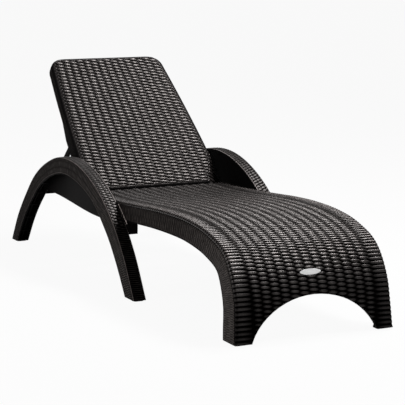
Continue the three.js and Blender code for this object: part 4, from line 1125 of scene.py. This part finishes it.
def build_floor(colour):
    """A wide pale floor with a low wall, which the camera sees as bright as the photo's ground."""
    bm = bmesh.new()
    bmesh.ops.create_circle(bm, cap_ends=True, segments=96, radius=FLOOR_RADIUS)
    rim = [edge for edge in bm.edges if edge.is_boundary]
    raised = bmesh.ops.extrude_edge_only(bm, edges=rim)
    wall = [part for part in raised["geom"] if isinstance(part, bmesh.types.BMVert)]
    bmesh.ops.translate(bm, verts=wall, vec=(0, 0, FLOOR_WALL))
    mesh = bpy.data.meshes.new("studio_floor")
    bm.to_mesh(mesh)
    bm.free()
    floor = bpy.data.objects.new("studio_floor", mesh)
    bpy.context.scene.collection.objects.link(floor)
    finish, shader, node, join = node_tree("floor_paint")
    shader.inputs["Base Color"].default_value = (*colour, 1)
    shader.inputs["Roughness"].default_value = 0.9
    glow = node("ShaderNodeEmission", Strength=1.0)
    path = node("ShaderNodeLightPath")
    seen = node("ShaderNodeMath", operation="MAXIMUM")
    join(path, "Is Camera Ray", seen, 0)
    join(path, "Is Glossy Ray", seen, 1)
    seen_through = node("ShaderNodeMath", operation="MAXIMUM")
    join(seen, "Value", seen_through, 0)
    join(path, "Is Transmission Ray", seen_through, 1)
    weight = node("ShaderNodeMath", operation="MULTIPLY")
    weight.inputs[1].default_value = FLOOR_GLOW
    join(seen_through, "Value", weight, 0)
    mix = node("ShaderNodeMixShader")
    join(weight, "Value", mix, "Fac")
    tree = finish.node_tree
    tree.links.new(shader.outputs["BSDF"], mix.inputs[1])
    tree.links.new(glow.outputs["Emission"], mix.inputs[2])
    output = next(n for n in tree.nodes if n.type == "OUTPUT_MATERIAL")
    tree.links.new(mix.outputs["Shader"], output.inputs["Surface"])
    mesh.materials.append(finish)


def build_world(scene):
    """A faint white sky."""
    world = bpy.data.worlds.new("studio")
    world.use_nodes = True
    soft = world.node_tree.nodes["Background"]
    soft.inputs["Color"].default_value = (1, 1, 1, 1)
    soft.inputs["Strength"].default_value = 0.05
    scene.world = world


def build_lamp(scene, name, place, target, size, power):
    """A soft box that looks at its target."""
    data = bpy.data.lights.new(name, "AREA")
    data.shape = "RECTANGLE"
    data.size, data.size_y = size
    data.energy = power
    lamp = bpy.data.objects.new(name, data)
    lamp.location = place
    lamp.rotation_mode = "QUATERNION"
    lamp.rotation_quaternion = (Vector(target) - Vector(place)).to_track_quat("-Z", "Y")
    scene.collection.objects.link(lamp)


def build_camera(scene):
    """The photograph's camera, solved from the outline of the seat, arms and back."""
    yaw, pitch, roll = (math.radians(angle) for angle in PHOTO_ANGLES)
    level_way = math.cos(pitch)
    way = Vector((math.sin(yaw) * level_way, math.cos(yaw) * level_way, -math.sin(pitch)))
    right = Vector((math.cos(yaw), -math.sin(yaw), 0))
    up = right.cross(way)
    level = math.cos(roll) * right + math.sin(roll) * up
    rise = math.cos(roll) * up - math.sin(roll) * right
    data = bpy.data.cameras.new("photo_camera")
    data.sensor_width = SENSOR_WIDTH
    data.lens = SENSOR_WIDTH * PHOTO_FOCAL / PHOTO_WIDTH
    data.clip_start = 0.1
    data.clip_end = 200
    camera = bpy.data.objects.new("photo_camera", data)
    turn = Matrix((level, rise, -way)).transposed()
    across, along, high = PHOTO_PLACE
    camera.matrix_world = Matrix.Translation((across, along + SHIFT * MM, high)) @ turn.to_4x4()
    scene.collection.objects.link(camera)
    scene.camera = camera


class LOUNGER_PT_panel(bpy.types.Panel):
    """Lists the steps that make the lounger"""

    bl_idname = "LOUNGER_PT_panel"
    bl_label = "Sun Lounger"
    bl_space_type = "VIEW_3D"
    bl_region_type = "UI"
    bl_category = "Lounger"

    def draw(self, context):
        layout = self.layout
        for step in STEPS:
            layout.operator(step.bl_idname)
        for group in (context.scene.lounger_weave, context.scene.lounger_colours):
            box = layout.box()
            for name in group.__annotations__:
                box.prop(group, name)


STEPS = (
    LOUNGER_OT_mouldings,
    LOUNGER_OT_hardware,
    LOUNGER_OT_seat_weave,
    LOUNGER_OT_back_weave,
    LOUNGER_OT_arm_bands,
    LOUNGER_OT_rail_ribs,
    LOUNGER_OT_stage,
)
CLASSES = (WeaveSizes, FinishColours, *STEPS, LOUNGER_PT_panel)


def register():
    for cls in CLASSES:
        bpy.utils.register_class(cls)
    bpy.types.Scene.lounger_weave = PointerProperty(type=WeaveSizes)
    bpy.types.Scene.lounger_colours = PointerProperty(type=FinishColours)


def unregister():
    del bpy.types.Scene.lounger_colours
    del bpy.types.Scene.lounger_weave
    for cls in reversed(CLASSES):
        bpy.utils.unregister_class(cls)


def main():
    register()
    for step in STEPS:
        group, name = step.bl_idname.split(".")
        getattr(getattr(bpy.ops, group), name)()


if __name__ == "__main__":
    main()
